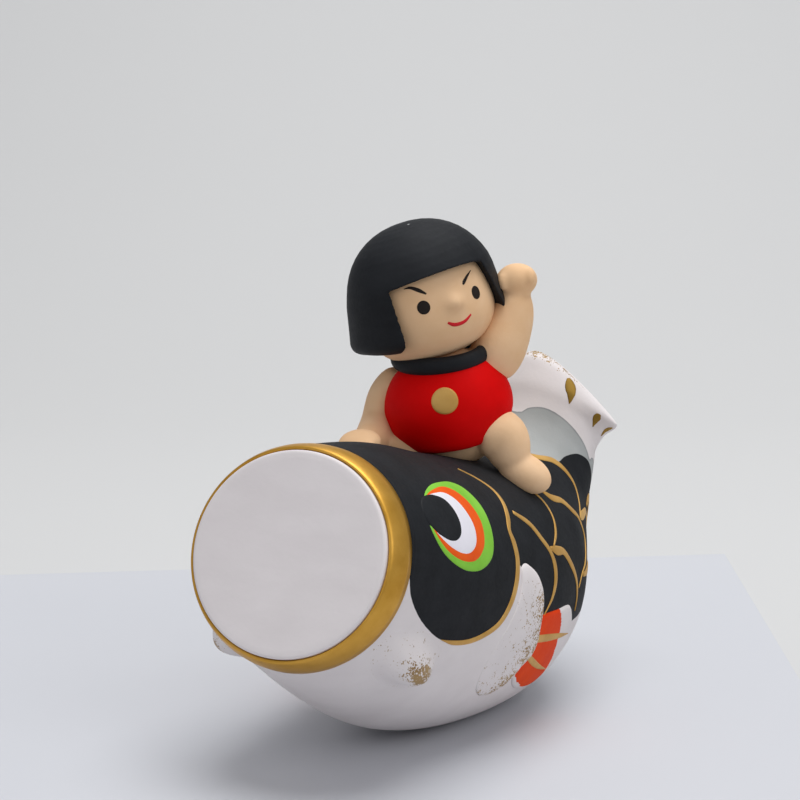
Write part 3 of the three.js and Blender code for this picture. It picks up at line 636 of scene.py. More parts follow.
def sphere(name, turns, rounds, move, marks=()):
    """A sphere whose vertices are put in place one by one by move(shape, vertex)."""
    bpy.ops.object.select_all(action="DESELECT")
    bpy.ops.mesh.primitive_uv_sphere_add(segments=turns, ring_count=rounds, radius=1.0)
    piece = named(bpy.context.object, name)
    bpy.ops.object.mode_set(mode="EDIT")
    shape = bmesh.from_edit_mesh(piece.data)
    for mark in marks:
        shape.verts.layers.float.new(mark)
    for vertex in shape.verts:
        move(shape, vertex)
    bmesh.update_edit_mesh(piece.data)
    bpy.ops.mesh.select_all(action="SELECT")
    bpy.ops.mesh.normals_make_consistent(inside=False)
    bpy.ops.object.mode_set(mode="OBJECT")
    bpy.ops.object.shade_smooth()
    return piece


def raised(name, outline, surface, lift, turns=72, rounds=28, sink=-0.35):
    """A low relief on a surface: a sphere pressed flat to an outline and lifted by lift()."""
    middle = [sum(p[i] for p in outline) / len(outline) for i in (0, 1)]

    def press(shape, vertex):
        reach = math.acos(min(1, abs(vertex.co.z))) / (math.pi / 2)
        turn = math.atan2(vertex.co.y, vertex.co.x) / (2 * math.pi) % 1 * len(outline)
        first = int(turn) % len(outline)
        second = (first + 1) % len(outline)
        part = turn - int(turn)
        spot = []
        for i in (0, 1):
            edge_at = outline[first][i] * (1 - part) + outline[second][i] * part
            spot.append(middle[i] + (edge_at - middle[i]) * reach)
        over = vertex.co.z > 0 and reach < 0.999
        height = lift(reach, *spot) if over else sink * (1 - 0.6 * reach ** 6)
        vertex.co = surface(spot[0], spot[1], height)
        marked(shape, vertex, *spot)
        vertex[shape.verts.layers.float["rim"]] = reach

    return sphere(name, turns, rounds, press, ("along", "side", "top", "rim"))


def mirrored(piece, name):
    """The same piece for the carp's right side, with its own mesh."""
    chosen(piece)
    bpy.ops.object.duplicate()
    copy = named(bpy.context.object, name)
    bpy.ops.object.mode_set(mode="EDIT")
    bpy.ops.mesh.select_all(action="SELECT")
    bpy.ops.transform.resize(value=(-1, 1, 1), center_override=(0, 0, 0))
    bpy.ops.mesh.normals_make_consistent(inside=False)
    bpy.ops.object.mode_set(mode="OBJECT")
    return copy


SIDE_FIN_EDGE = [
    (2.27, 73), (2.36, 71.5), (2.5, 74), (2.62, 80), (2.69, 88), (2.72, 96), (2.78, 104),
    (2.78, 111), (2.68, 116), (2.64, 121), (2.56, 127), (2.42, 131), (2.2, 128),
    (2.04, 119), (2.02, 108), (2.14, 97), (2.22, 88), (2.26, 80),
]
SIDE_FIN_LIFT = 1.25


def fin_lift(reach, station, degrees):
    """Low at the cheek, standing proud along the rear and lower edge."""
    rear = min(1, max(0, (station - 2.1) / 0.5))
    dome = 1 - reach ** 10
    return 0.03 + (SIDE_FIN_LIFT * rear ** 1.4) * dome ** 0.6


left_fin = raised("left_fin_relief", curve(SIDE_FIN_EDGE, closed=True), skin_point, fin_lift, 128, 44)
station, degrees = place_on_skin(left_fin)
rim = numbers(left_fin, "rim")
rear = np.clip((station - 2.24) / 0.28, 0, 1) * np.clip((degrees - 76) / 12, 0, 1)
low = np.clip((degrees - 116) / 12, 0, 1) * np.clip((station - 2.1) / 0.4, 0, 1)
noted(left_fin, "sponge", np.clip(np.maximum(rear, low) * (0.4 + 0.5 * rim ** 2), 0, 0.9))
right_fin = mirrored(left_fin, "right_fin_relief")
fin_paint = Finish("white clay sponged with gold", WHITE_LOW, WHITE_HIGH)
sponge_mask = placed(fin_paint.tree, sponge_dabs, Density=mark_of(fin_paint.tree, "sponge"))
fin_paint.gild(sponge_mask.outputs["Mask"], (0.30, 0.19, 0.085), (0.46, 0.32, 0.16), 0.55, 0.25)
fin_material = fin_paint.done()
for piece, node in ((left_fin, "left_side_fin"), (right_fin, "right_side_fin")):
    piece.data.materials.append(fin_material)
    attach(piece, "root")
    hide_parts(node)

# ----------------------------------------
# Belly fins
# Smaller fins low on the flank, tucked under the side fins, painted orange inside a white
# margin. Their gold rays are drawn with the rest of the line work.
# ----------------------------------------
BELLY_FIN_EDGE = [
    (2.55, 98), (2.72, 93.5), (3.12, 92), (3.44, 92), (3.6, 98), (3.72, 107), (3.76, 117),
    (3.66, 127), (3.48, 133), (3.2, 132.5), (2.85, 126), (2.6, 114),
]
ORANGE_EDGE = [
    (2.45, 96), (2.7, 88), (3.08, 88), (3.17, 93), (3.26, 100), (3.34, 109), (3.46, 119),
    (3.5, 127), (3.42, 131), (3.2, 130), (2.85, 123), (2.55, 112),
]
ORANGE_LOW = (0.74, 0.042, 0.0)
ORANGE_HIGH = (0.84, 0.07, 0.0)
BELLY_FIN_LIFT = 0.42


def belly_fin_lift(reach, station, degrees):
    return BELLY_FIN_LIFT * (1 - reach ** 8) ** 0.6


belly_outline = curve(BELLY_FIN_EDGE, closed=True)
left_belly = raised("left_belly_relief", belly_outline, skin_point, belly_fin_lift, 128, 48)
paint_area(left_belly, "orange", curve(ORANGE_EDGE, closed=True), closed_back=False)
right_belly = mirrored(left_belly, "right_belly_relief")
belly_paint = Finish("white clay with orange paint", WHITE_LOW, WHITE_HIGH)
tree = belly_paint.tree
belly_paint.lay(
    placed(tree, brush_edge, Distance=mark_of(tree, "orange")).outputs["Mask"], ORANGE_LOW, ORANGE_HIGH
)
belly_material = belly_paint.done()
for piece, node in ((left_belly, "left_belly_fin"), (right_belly, "right_belly_fin")):
    piece.data.materials.append(belly_material)
    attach(piece, "root")
    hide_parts(node)

# ----------------------------------------
# Front fins
# Two blunt nubs pinched up from the clay under the mouth, smoothed into the belly, with a
# smear of sponged gold low on each.
# ----------------------------------------
FRONT_FIN_EDGE = [
    (0.06, 127), (0.16, 118.5), (0.48, 112), (0.84, 113), (1.12, 119), (1.2, 128),
    (1.03, 138), (0.7, 143), (0.38, 142), (0.14, 136),
]
FRONT_FIN_LIFT = 4.6


def nub_lift(reach, station, degrees):
    return FRONT_FIN_LIFT * (1 - reach ** 2) ** 2.6 - 0.04


left_nub = raised("left_nub", curve(FRONT_FIN_EDGE, closed=True), skin_point, nub_lift, 64, 48, -0.2)
station, degrees = place_on_skin(left_nub)
rim = numbers(left_nub, "rim")
spot = np.exp(-(((station - 0.62) / 0.17) ** 2) - ((degrees - 126.5) / 4.5) ** 2)
noted(left_nub, "sponge", np.clip(spot * 1.7, 0, 1.1))
right_nub = mirrored(left_nub, "right_nub")
for piece, node in ((left_nub, "left_front_fin"), (right_nub, "right_front_fin")):
    piece.data.materials.append(fin_material)
    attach(piece, "root")
    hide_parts(node)

# ----------------------------------------
# Carp's eyes
# Painted on the cheek patch in four coats: lime green, orange, white and the black pupil,
# each coat nested inside the last and touching it at the front.
# ----------------------------------------
EYE_COATS = [
    ("green", (0.19, 0.50, 0.035), (0.25, 0.60, 0.06), 0.05, [
        (0.47, 48), (0.72, 42), (1.03, 39), (1.33, 37.5), (1.57, 39), (1.74, 46), (1.77, 58),
        (1.64, 72), (1.3, 80), (0.91, 81.5), (0.55, 77), (0.35, 67), (0.34, 56)]),
    ("orange", (0.78, 0.08, 0.002), (0.86, 0.12, 0.006), 0.08, [
        (0.48, 48.5), (0.72, 44), (1.0, 41.5), (1.26, 43), (1.45, 48), (1.55, 56),
        (1.52, 64), (1.44, 70), (1.22, 76.5), (0.9, 78.5), (0.58, 75), (0.37, 66), (0.36, 56)]),
    ("white", (0.76, 0.74, 0.80), (0.82, 0.80, 0.86), 0.11, [
        (0.49, 49), (0.7, 46), (0.92, 45), (1.12, 48), (1.26, 54), (1.33, 61), (1.28, 69),
        (1.12, 74), (0.92, 75.5), (0.66, 73.5), (0.44, 68), (0.36, 62), (0.38, 55)]),
    ("pupil", BLACK_LOW, BLACK_HIGH, 0.14, [
        (0.29, 57), (0.36, 51), (0.52, 48), (0.7, 47.5), (0.85, 49), (0.96, 54), (1.0, 61),
        (0.95, 67), (0.82, 70.5), (0.66, 71), (0.48, 68.5), (0.34, 64)]),
]
for coat, low, high, lift, outline in EYE_COATS:
    eye_paint = Finish("eye " + coat, low, high, (0.5, 0.65), 0.03).done()
    left_coat = raised(
        "left_eye_" + coat,
        curve(outline, closed=True),
        skin_point,
        lambda reach, station, degrees: lift * (1 - reach ** 16),
        96,
        36,
    )
    right_coat = mirrored(left_coat, "right_eye_" + coat)
    for piece in (left_coat, right_coat):
        piece.data.materials.append(eye_paint)
        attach(piece, "root")

# ----------------------------------------
# Gold line work
# The gill line, the scales, the fin rays and the drops on the tail, drawn free-hand in
# gold: each stroke presses in, swells and lifts off to a point.
# ----------------------------------------


def tangents(surface, u, v):
    """The surface's two directions at a point, per unit of each."""
    step = 0.01
    turn = DEGREES_PER_STATION * step
    return (
        (surface(u + step, v, 0) - surface(u - step, v, 0)) / (2 * step),
        (surface(u, v + turn, 0) - surface(u, v - turn, 0)) / (2 * DEGREES_PER_STATION * step),
    )


def stroke(name, points, widths, surface=skin_point, thick=0.13, sides=12, per_span=10):
    """A painted stroke: a flat tube along a line on a surface, widths given along it."""
    line = [Vector((u, v / DEGREES_PER_STATION, 0)) for u, v in points]
    swell = [Vector((w, 0, 0)) for w in widths]
    steps = (len(points) - 1) * per_span
    rings = []
    for step in range(steps + 1):
        share = step / steps
        here = through(line, share)
        ahead = through(line, min(1, share + 0.004)) - through(line, max(0, share - 0.004))
        u = here.x
        v = here.y * DEGREES_PER_STATION
        by_u, by_v = tangents(surface, u, v)
        run = (by_u * ahead.x + by_v * ahead.y * DEGREES_PER_STATION).normalized()
        normal = by_u.cross(by_v).normalized()
        across = normal.cross(run)
        half = max(0.03, through(swell, share).x / 2) * MM
        guu, guv, gvv = by_u.dot(by_u), by_u.dot(by_v), by_v.dot(by_v)
        scale = guu * gvv - guv * guv
        du = (gvv * across.dot(by_u) - guv * across.dot(by_v)) / scale
        dv = (guu * across.dot(by_v) - guv * across.dot(by_u)) / scale
        ring = []
        for k in range(sides):
            angle = 2 * math.pi * k / sides
            off = math.cos(angle) * half
            lift = math.sin(angle)
            lift = thick * lift if lift > 0 else 0.25 * lift
            ring.append(surface(u + du * off, v + dv * off, lift))
        rings.append(ring)
    return pulled(name, rings)


def joined(pieces, name):
    bpy.ops.object.select_all(action="DESELECT")
    for piece in pieces:
        piece.select_set(True)
    bpy.context.view_layer.objects.active = pieces[0]
    bpy.ops.object.join()
    return named(bpy.context.object, name)


GILL_LINE = (
    [(2.02, 24.5), (2.2, 30.5), (2.32, 37), (2.33, 44), (2.25, 52), (2.17, 58), (2.19, 64),
     (2.2, 71), (2.16, 80), (2.08, 89), (1.94, 97), (1.7, 103), (1.42, 108), (1.14, 111), (0.9, 112)],
    [0.2, 0.5, 0.8, 1.1, 1.3, 1.1, 1.6, 1.5, 1.5, 1.4, 1.2, 1.1, 1.0, 0.9, 0.1],
)
SCALE_LINES = [
    ([(2.42, 49), (2.65, 54), (2.8, 61), (2.93, 67), (2.99, 73), (2.99, 80), (2.93, 87), (2.8, 94)],
     [0.84, 1.26, 1.18, 1.09, 1.34, 1.18, 0.67, 0.1]),
    ([(3.12, 30), (3.24, 36), (3.35, 43), (3.34, 52), (3.22, 59), (3.04, 65)],
     [0.76, 0.84, 0.59, 0.5, 0.67, 0.34]),
    ([(3.58, 38), (3.72, 43), (3.98, 47), (4.25, 55), (4.5, 63), (4.51, 73), (4.26, 77), (3.87, 82),
      (3.72, 87)],
     [0.84, 1.93, 1.51, 1.51, 1.09, 0.67, 0.59, 0.42, 0.25]),
    ([(2.95, 65.5), (3.1, 67), (3.28, 68), (3.46, 74), (3.62, 82), (3.68, 90), (3.68, 97)],
     [0.67, 1.85, 1.43, 1.43, 0.92, 0.59, 0.17]),
    ([(4.45, 8), (4.62, 16), (4.9, 26), (5.35, 37), (5.54, 50), (5.52, 60), (5.2, 64.5), (4.7, 65.5)],
     [0.76, 1.34, 1.6, 1.6, 1.18, 0.76, 0.5, 0.34]),
    ([(4.66, 65.5), (4.95, 69), (5.45, 76.5), (5.85, 85), (6.0, 94), (5.95, 103)],
     [0.7, 1.8, 1.6, 1.26, 0.84, 0.25]),
    ([(3.9, 83), (4.3, 86), (4.65, 90), (4.8, 95), (4.7, 100), (4.5, 103)],
     [0.84, 1.68, 1.43, 1.01, 0.67, 0.17]),
    ([(6.15, 89), (6.45, 92), (6.65, 97), (6.6, 103), (6.35, 108)],
     [0.67, 1.43, 1.18, 0.76, 0.25]),
]
RAY_LINES = [
    ([(2.7, 103), (3.0, 103.6), (3.3, 104.6), (3.58, 106)], [1.6, 1.6, 1.2, 0.1]),
    ([(2.74, 110.5), (2.95, 114.5), (3.18, 118.5), (3.45, 122.5)], [1.1, 1.3, 1.0, 0.1]),
]
TAIL_DROPS = [
    ([(10.98, 27), (10.7, 28.5), (10.3, 30.5), (9.85, 33), (9.4, 35.5), (9.0, 38), (8.6, 40)],
     [0.6, 1.6, 2.1, 1.9, 1.35, 0.8, 0.15]),
    ([(9.8, 61), (9.55, 62.5), (9.25, 65), (8.95, 68), (8.65, 71), (8.3, 74.5)],
     [0.5, 1.3, 1.6, 1.35, 0.8, 0.15]),
    ([(9.75, 86), (9.5, 87.5), (9.2, 89.5), (8.9, 92), (8.6, 94.5)], [0.3, 0.9, 1.0, 0.7, 0.15]),
    ([(9.9, 125), (9.6, 124), (9.1, 122), (8.5, 120), (8.0, 118)], [0.5, 1.4, 1.6, 1.0, 0.2]),
]
RAY_LEVEL = 0.38  # the rays lie on the belly fin's relief
lines = [stroke("gill", *GILL_LINE)]
for index, (points, widths) in enumerate(SCALE_LINES):
    lines.append(stroke(f"scale_{index}", points, widths))
left_lines = joined(lines, "left_gold_lines")
right_lines = mirrored(left_lines, "right_gold_lines")


def over_belly_fin(station, degrees, grow):
    """The skin with the belly fin's relief on it."""
    return skin_point(station, degrees, grow + RAY_LEVEL)


left_rays = joined(
    [stroke(f"ray_{k}", points, widths, over_belly_fin, 0.2) for k, (points, widths) in enumerate(RAY_LINES)],
    "left_fin_rays",
)
right_rays = mirrored(left_rays, "right_fin_rays")
left_drops = joined(
    [stroke(f"drop_{k}", points, widths, thick=0.1) for k, (points, widths) in enumerate(TAIL_DROPS)],
    "left_tail_drops",
)
right_drops = mirrored(left_drops, "right_tail_drops")
line_paint = Finish("gold line paint", (0.50, 0.27, 0.06), (0.70, 0.43, 0.135), (0.42, 0.58), 0.05, 2200.0)
line_paint.metal = span(line_paint.tree, line_paint.clay.outputs["Gloss"], 0, 1, 0.3, 0.5)
line_material = line_paint.done()
drop_paint = Finish("gold drop paint", (0.22, 0.13, 0.02), (0.38, 0.23, 0.045), (0.4, 0.6), 0.05, 2200.0)
drop_paint.metal = span(drop_paint.tree, drop_paint.clay.outputs["Gloss"], 0, 1, 0.45, 0.7)
drop_material = drop_paint.done()
for piece in (left_lines, right_lines, left_rays, right_rays):
    piece.data.materials.append(line_material)
for piece in (left_drops, right_drops):
    piece.data.materials.append(drop_material)
for piece in (left_lines, right_lines, left_rays, right_rays, left_drops, right_drops):
    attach(piece, "root")

# ----------------------------------------
# Child's body
# A stout seated child cast in one piece with its arms and legs, in unglazed clay painted a
# matt peach. It is luted on to the carp's back, turned and leaning a little to its right.
# ----------------------------------------
RIDER_TURN = math.radians(28)
RIDER_LEAN = math.radians(6)
HEAD_TURN = math.radians(29)
HEAD_ROLL = math.radians(12)
HEAD_RADIUS = 12.5
TORSO_HALF = (10.05, 8.64, 11.44)
TORSO_MIDDLE = 9.24
TORSO_FULLNESS = 0.1
NECK_AT = (0.1, 0, 18.04)
BODY_VOXEL = 0.36
seat = skin_point(3.0, 0) / MM
rider = Matrix.Translation(seat) @ Matrix.Rotation(RIDER_TURN, 4, "Z") @ Matrix.Rotation(-RIDER_LEAN, 4, "Y")
neck = rider @ Matrix.Translation(NECK_AT) @ Matrix.Rotation(-HEAD_ROLL, 4, "Y")
crown = neck @ Matrix.Translation((0, 0, 1.02 * HEAD_RADIUS)) @ Matrix.Rotation(HEAD_TURN, 4, "Z")


def torso_point(longitude, latitude, grow=0.0):
    """A point of the barrel-shaped body; longitude 0 is the front."""
    lon, lat = math.radians(longitude), math.radians(latitude)
    x, y, z = math.cos(lat) * math.sin(lon), -math.cos(lat) * math.cos(lon), math.sin(lat)
    fuller = 1 + TORSO_FULLNESS * (1 - z * z)
    spot = Vector((
        x * fuller * (TORSO_HALF[0] + grow),
        y * fuller * (TORSO_HALF[1] + grow),
        TORSO_MIDDLE + z * (TORSO_HALF[2] + grow),
    ))
    return rider @ spot * MM


def ball(name, turns, rounds, place):
    """A sphere whose points are moved one by one to place(unit vector)."""

    def settle(shape, vertex):
        vertex.co = place(vertex.co.copy())

    return sphere(name, turns, rounds, settle)


def lump(name, frame_of, centre, sizes, forward=(0, -1, 0)):
    """A rounded lump of clay, its second size along `forward`."""
    turn = Vector((0, -1, 0)).rotation_difference(Vector(forward).normalized()).to_matrix().to_4x4()
    where = frame_of @ Matrix.Translation(centre) @ turn @ Matrix.Diagonal((*sizes, 1))
    return ball(name, 24, 16, lambda unit: where @ unit * MM)


def limb(name, points, radii, sides=20, steps=30):
    """A round-ended limb along a smooth line through the points."""
    line = [Vector(p) for p in points]
    swell = [Vector((r, 0, 0)) for r in radii]
    rings = []
    side = None
    for step in range(steps + 1):
        share = 0.5 - 0.5 * math.cos(math.pi * step / steps)
        here = through(line, share)
        run = (through(line, min(1, share + 0.01)) - through(line, max(0, share - 0.01))).normalized()
        side = Vector((0.3, 1, 0.2)) if side is None else side
        side = (side - run * side.dot(run)).normalized()
        other = run.cross(side)
        round_end = (1 - abs(2 * share - 1) ** 4) ** 0.25
        radius = max(0.15, through(swell, share).x * round_end)
        ring = []
        for k in range(sides):
            angle = 2 * math.pi * k / sides
            ring.append(rider @ (here + (side * math.cos(angle) + other * math.sin(angle)) * radius) * MM)
        rings.append(ring)
    return pulled(name, rings)


clay = [ball("barrel", 48, 32, lambda unit: torso_point(
    math.degrees(math.atan2(unit.x, -unit.y)), math.degrees(math.asin(max(-1, min(1, unit.z))))))]
clay.append(limb("raised_arm", [(7.6, 0.4, 14.4), (10.2, 0.8, 19.3), (12.9, 1.4, 24.5), (14.5, 1.3, 29.8)],
                 [4.8, 5.1, 4.3, 3.3]))
clay.append(lump("fist", rider, (14.6, 1.2, 31.3), (3.9, 3.2, 3.2)))
for k in range(4):
    across = Vector((1, 0, 0.1)) * (k - 1.5) * 1.7
    start = Vector((14.6, -0.9, 31.8)) + across
    clay.append(lump(f"knuckle_{k}", rider, start, (0.95, 1.75, 0.95), (0, -0.35, -1)))
LEANING_ARM = [
    (-7.6, 1.3, 16.2), (-10.95, 1.9, 11.9), (-12.85, 0.1, 7.7), (-14.65, -5.4, 5.6), (-15.95, -11, 5.9),
]
clay.append(limb("leaning_arm", LEANING_ARM, [4.1, 4.1, 3.8, 3.4, 3.0]))
clay.append(lump("palm", rider, (-16.3, -13.2, 6.6), (4.1, 3.6, 2.2), (-0.35, -0.9, -0.3)))
for k in range(4):
    across = Vector((0.86, -0.5, 0.1)) * (k - 1.5) * 1.95
    start = Vector((-17.2, -16.2, 6.0)) + across
    clay.append(lump(f"finger_{k}", rider, start, (1.15, 2.35, 1.15), (-0.35, -0.9, -0.3)))
for side, hip, knee, heel, toes in (
    ("left", (4.75, -4.5, 4.3), (9.1, -4.3, 4.0), (10.5, -4.9, -2.0), (14.35, -5.3, -4.5)),
    ("right", (-4.4, -3.2, 2.3), (-9.6, -1.9, 2.5), (-12.7, -0.6, -0.8), (-16.0, -1.6, -4.5)),
):
    clay.append(limb(side + "_leg", [hip, knee, heel], [4.8, 4.6, 4.0]))
    heel_at, toes_at = Vector(heel), Vector(toes)
    ahead = (toes_at - heel_at).normalized()
    clay.append(lump(side + "_foot", rider, heel_at + ahead * 2.6, (3.6, 5.3, 3.4), ahead))
child_body = joined(clay, "child_body")
finished(child_body, "REMESH", mode="VOXEL", voxel_size=BODY_VOXEL * MM)
finished(child_body, "SMOOTH", factor=0.5, iterations=16)
chosen(child_body)
bpy.ops.object.shade_smooth()
PEACH_LOW = (0.81, 0.515, 0.285)
PEACH_HIGH = (0.87, 0.59, 0.36)
skin_paint = Finish("peach painted clay", PEACH_LOW, PEACH_HIGH, (0.6, 0.74), 0.045)
peach_material = skin_paint.done()
child_body.data.materials.append(peach_material)
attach(child_body, "root")
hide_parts("torso", "left_arm", "right_arm", "left_leg", "right_leg")

# ----------------------------------------
# Apron
# The bib apron is a thin raised layer of clay over the chest and belly, painted flat red,
# with one round gold spot on its front.
# ----------------------------------------
APRON_EDGE = [
    (0, -35), (22, -33), (44, -28), (62, -19), (76, -7), (85, 6), (89, 20), (90, 36),
    (85, 46), (50, 50), (0, 51), (-50, 50), (-80, 43), (-86, 31), (-87, 20), (-86, 4),
    (-82, -12), (-72, -26), (-50, -34), (-25, -36),
]
APRON_LIFT = 1.25
apron_outline = curve(APRON_EDGE, closed=True)
child_apron = raised("child_apron", apron_outline, torso_point,
                     lambda reach, lon, lat: APRON_LIFT * (1 - reach ** 14) ** 0.5, 128, 48)
RED_LOW = (0.62, 0.0, 0.0)
RED_HIGH = (0.74, 0.0005, 0.001)
apron_paint = Finish("matt red paint", RED_LOW, RED_HIGH, (0.55, 0.7), 0.04)
apron_paint.shader.inputs["Specular IOR Level"].default_value = 0.08
child_apron.data.materials.append(apron_paint.done())
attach(child_apron, "root")
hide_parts("apron")

SPOT_MIDDLE = (-2, 14)
SPOT_RADIUS = 2.6
PAINT_LIFT = 0.12  # how far a thick dab of paint stands off the clay


def apron_point(longitude, latitude, grow):
    return torso_point(longitude, latitude, APRON_LIFT + grow)


by_lon, by_lat = tangents(apron_point, *SPOT_MIDDLE)
spot_outline = []
for k in range(48):
    angle = 2 * math.pi * k / 48
    spot_outline.append((
        SPOT_MIDDLE[0] + math.cos(angle) * SPOT_RADIUS * MM / by_lon.length,
        SPOT_MIDDLE[1] + math.sin(angle) * SPOT_RADIUS * MM / by_lat.length,
    ))
gold_spot = raised(
    "gold_spot",
    spot_outline,
    apron_point,
    lambda reach, lon, lat: PAINT_LIFT * (1 - reach ** 12),
    64,
    24,
)
gold_spot.data.materials.append(line_material)
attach(gold_spot, "root")

# ----------------------------------------
# Apron collar
# A plump roll of clay round the neck that holds the apron up, painted matt black.
# ----------------------------------------
COLLAR_RADIUS = 7.9
COLLAR_HALF = (1.4, 1.65)
COLLAR_DEPTH = 0.94  # front to back, as a share of its width
COLLAR_TILT = math.radians(8)
COLLAR_MIDDLE = (-0.6, -0.4, 19.25)
collar_frame = rider @ Matrix.Translation(COLLAR_MIDDLE) @ Matrix.Rotation(COLLAR_TILT, 4, "X")
collar_rings = []
for k in range(25):
    turn = 2 * math.pi * k / 25
    radius = COLLAR_RADIUS + COLLAR_HALF[0] * math.cos(turn)
    up = COLLAR_HALF[1] * math.sin(turn)
    ring = []
    for step in range(96):
        angle = 2 * math.pi * step / 96
        spot = Vector((radius * math.cos(angle), COLLAR_DEPTH * radius * math.sin(angle), up))
        ring.append(collar_frame @ spot * MM)
    collar_rings.append(ring)
black_paint = Finish("matt black paint", BLACK_LOW, BLACK_HIGH, (0.55, 0.7), 0.05)
tree = black_paint.tree
black_paint.lay(placed(tree, pale_specks, Rarity=0.8).outputs["Mask"], GREY_LOW, GREY_HIGH)
black_material = black_paint.done()
child_collar = pulled("child_collar", collar_rings, closed=True)
child_collar.data.materials.append(black_material)
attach(child_collar, "root")
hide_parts("apron_collar")

# ----------------------------------------
# Child's head
# A round head with a button nose, in the same matt peach as the body, with small painted
# eyes, slanting brows and a red smile.
# ----------------------------------------
HEAD_HALF = (12.5, 12.0, 12.125)
CHIN_DROP = 11.63
NOSE_AT = (-2, -8)
NOSE_REACH = 1.7
NOSE_LIFT = 1.25
CHEEK_SQUARENESS = 2.5
CHEEK_WIDENING = 0.12


def unit_at(longitude, latitude):
    lon, lat = math.radians(longitude), math.radians(latitude)
    return Vector((math.cos(lat) * math.sin(lon), -math.cos(lat) * math.cos(lon), math.sin(lat)))


def head_spot(unit, grow=0.0):
    """A point of the head, with the nose raised from it."""
    away = (unit - unit_at(*NOSE_AT)).length * HEAD_RADIUS
    lift = grow + NOSE_LIFT * math.exp(-((away / NOSE_REACH) ** 2))
    below = min(max(0, -unit.z), 0.999)
    squarer = (1 - below ** CHEEK_SQUARENESS) ** (1 / CHEEK_SQUARENESS)
    cheek = squarer / math.sqrt(1 - below * below) * (1 + CHEEK_WIDENING * below * below)
    half = (HEAD_HALF[0], HEAD_HALF[1], HEAD_HALF[2] if unit.z > 0 else CHIN_DROP)
    spot = Vector(tuple(unit[i] * (half[i] + lift) for i in range(3)))
    return crown @ Vector((spot.x * cheek, spot.y * cheek, spot.z)) * MM


def head_point(longitude, latitude, grow=0.0):
    return head_spot(unit_at(longitude, latitude), grow)


child_head = ball("child_head", 160, 112, head_spot)
child_head.data.materials.append(peach_material)
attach(child_head, "root")
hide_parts("head")

EYE_PLACES = [("left", (22, -8), 5.2, 6.6), ("right", (-28, -4), 5.9, 6.6)]
eye_paint = Finish("brown-black eye paint", (0.010, 0.007, 0.006), (0.028, 0.02, 0.016), (0.4, 0.55), 0.03)
eye_material = eye_paint.done()
for side, (lon, lat), wide, high in EYE_PLACES:
    outline = [
        (lon + wide * math.cos(2 * math.pi * k / 40), lat + high * math.sin(2 * math.pi * k / 40))
        for k in range(40)
    ]
    piece = raised(
        f"child_{side}_eye",
        outline,
        head_point,
        lambda reach, u, v: PAINT_LIFT * (1 - reach ** 10),
        48,
        20,
    )
    piece.data.materials.append(eye_material)
    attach(piece, "root")
smile_paint = Finish("red lip paint", (0.56, 0.012, 0.02), (0.68, 0.02, 0.03), (0.5, 0.62), 0.03).done()
FACE_STROKES = [
    ("left_brow", [(11, 3), (13, 4.8), (18, 8), (25.5, 11.5)], [0.3, 0.65, 0.5, 0.08], eye_material, "black"),
    ("right_brow", [(-39.5, 16), (-34, 15.5), (-28, 11.5), (-22.5, 6.5)], [0.1, 0.5, 0.7, 0.3],
     eye_material, "black"),
    ("smile", [(-12.5, -24.5), (-8, -28.3), (-2, -29.8), (4, -29), (10.5, -25)],
     [0.45, 0.7, 0.7, 0.6, 0.35], smile_paint, "red"),
]
for name, points, widths, paint, colour in FACE_STROKES:
    piece = stroke("child_" + name, points, widths, head_point, PAINT_LIFT)
    piece.data.materials.append(paint)
    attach(piece, "root")

# ----------------------------------------
# Hair
# A bobbed cap of hair built up in clay over the crown, cut straight across the brow and
# beside the cheeks and painted matt black.
# ----------------------------------------
HAIR_THICKNESS = 1.35
HAIR_BOTTOM = -0.585 * HEAD_RADIUS
FRINGE = 0.33 * HEAD_RADIUS
HAIR_SWEEP = 0.2
HAIR_FLARE = 0.5
HAIR_FRONT_DROP = 0.17  # how much longer the bob is in front
HAIR_CORNER = 2.9
HAIR_VOXEL = 0.24
# The opening of the face from in front: (across, up) in shares of the head's radius.
FACE_OPENING = [
    (-0.84, -0.86), (-0.84, -0.3), (-0.84, 0.3), (-0.62, 0.325), (-0.42, 0.34), (-0.2, 0.345),
    (0, 0.345), (0.2, 0.335), (0.4, 0.315), (0.6, 0.27), (0.76, -0.2), (0.99, -0.86),
]
hair_radius = HEAD_RADIUS + HAIR_THICKNESS


def bezier(points, share):
    """A point on the curve with three or four control points."""
    points = [Vector(p) for p in points]
    while len(points) > 1:
        points = [a.lerp(b, share) for a, b in zip(points, points[1:])]
    return points[0]


HAIR_SIDE = (hair_radius + HAIR_FLARE, 0)
HAIR_BULGE = (hair_radius + HAIR_FLARE * 2.3, HAIR_BOTTOM * 0.63)
hair_curves = [
    [(0.4, hair_radius - 0.05), (hair_radius * 0.58, hair_radius - 0.05),
     (hair_radius - HAIR_FLARE * 0.5, hair_radius * 0.62), HAIR_SIDE],
    [HAIR_SIDE, (hair_radius + HAIR_FLARE * 1.6, HAIR_BOTTOM * 0.33), HAIR_BULGE],
    [HAIR_BULGE, (hair_radius + HAIR_FLARE * 2.7, HAIR_BOTTOM), (hair_radius - HAIR_CORNER, HAIR_BOTTOM)],
]
hair_profile = []
for part in hair_curves:
    hair_profile += [bezier([(r, z, 0) for r, z in part], k / 12) for k in range(12)]
hair_profile.append(Vector((hair_radius - HAIR_CORNER, HAIR_BOTTOM, 0)))
hair_rings = []
for spot in hair_profile:
    swept = HAIR_SWEEP * max(0, FRINGE - spot.y)
    ring = []
    for k in range(96):
        angle = 2 * math.pi * k / 96
        longer = 1 + HAIR_FRONT_DROP * max(0, -math.sin(angle)) if spot.y < 0 else 1
        place = Vector((spot.x * math.cos(angle), spot.x * math.sin(angle) + swept, spot.y * longer))
        ring.append(crown @ place * MM)
    hair_rings.append(ring)
child_hair = pulled("child_hair", hair_rings)

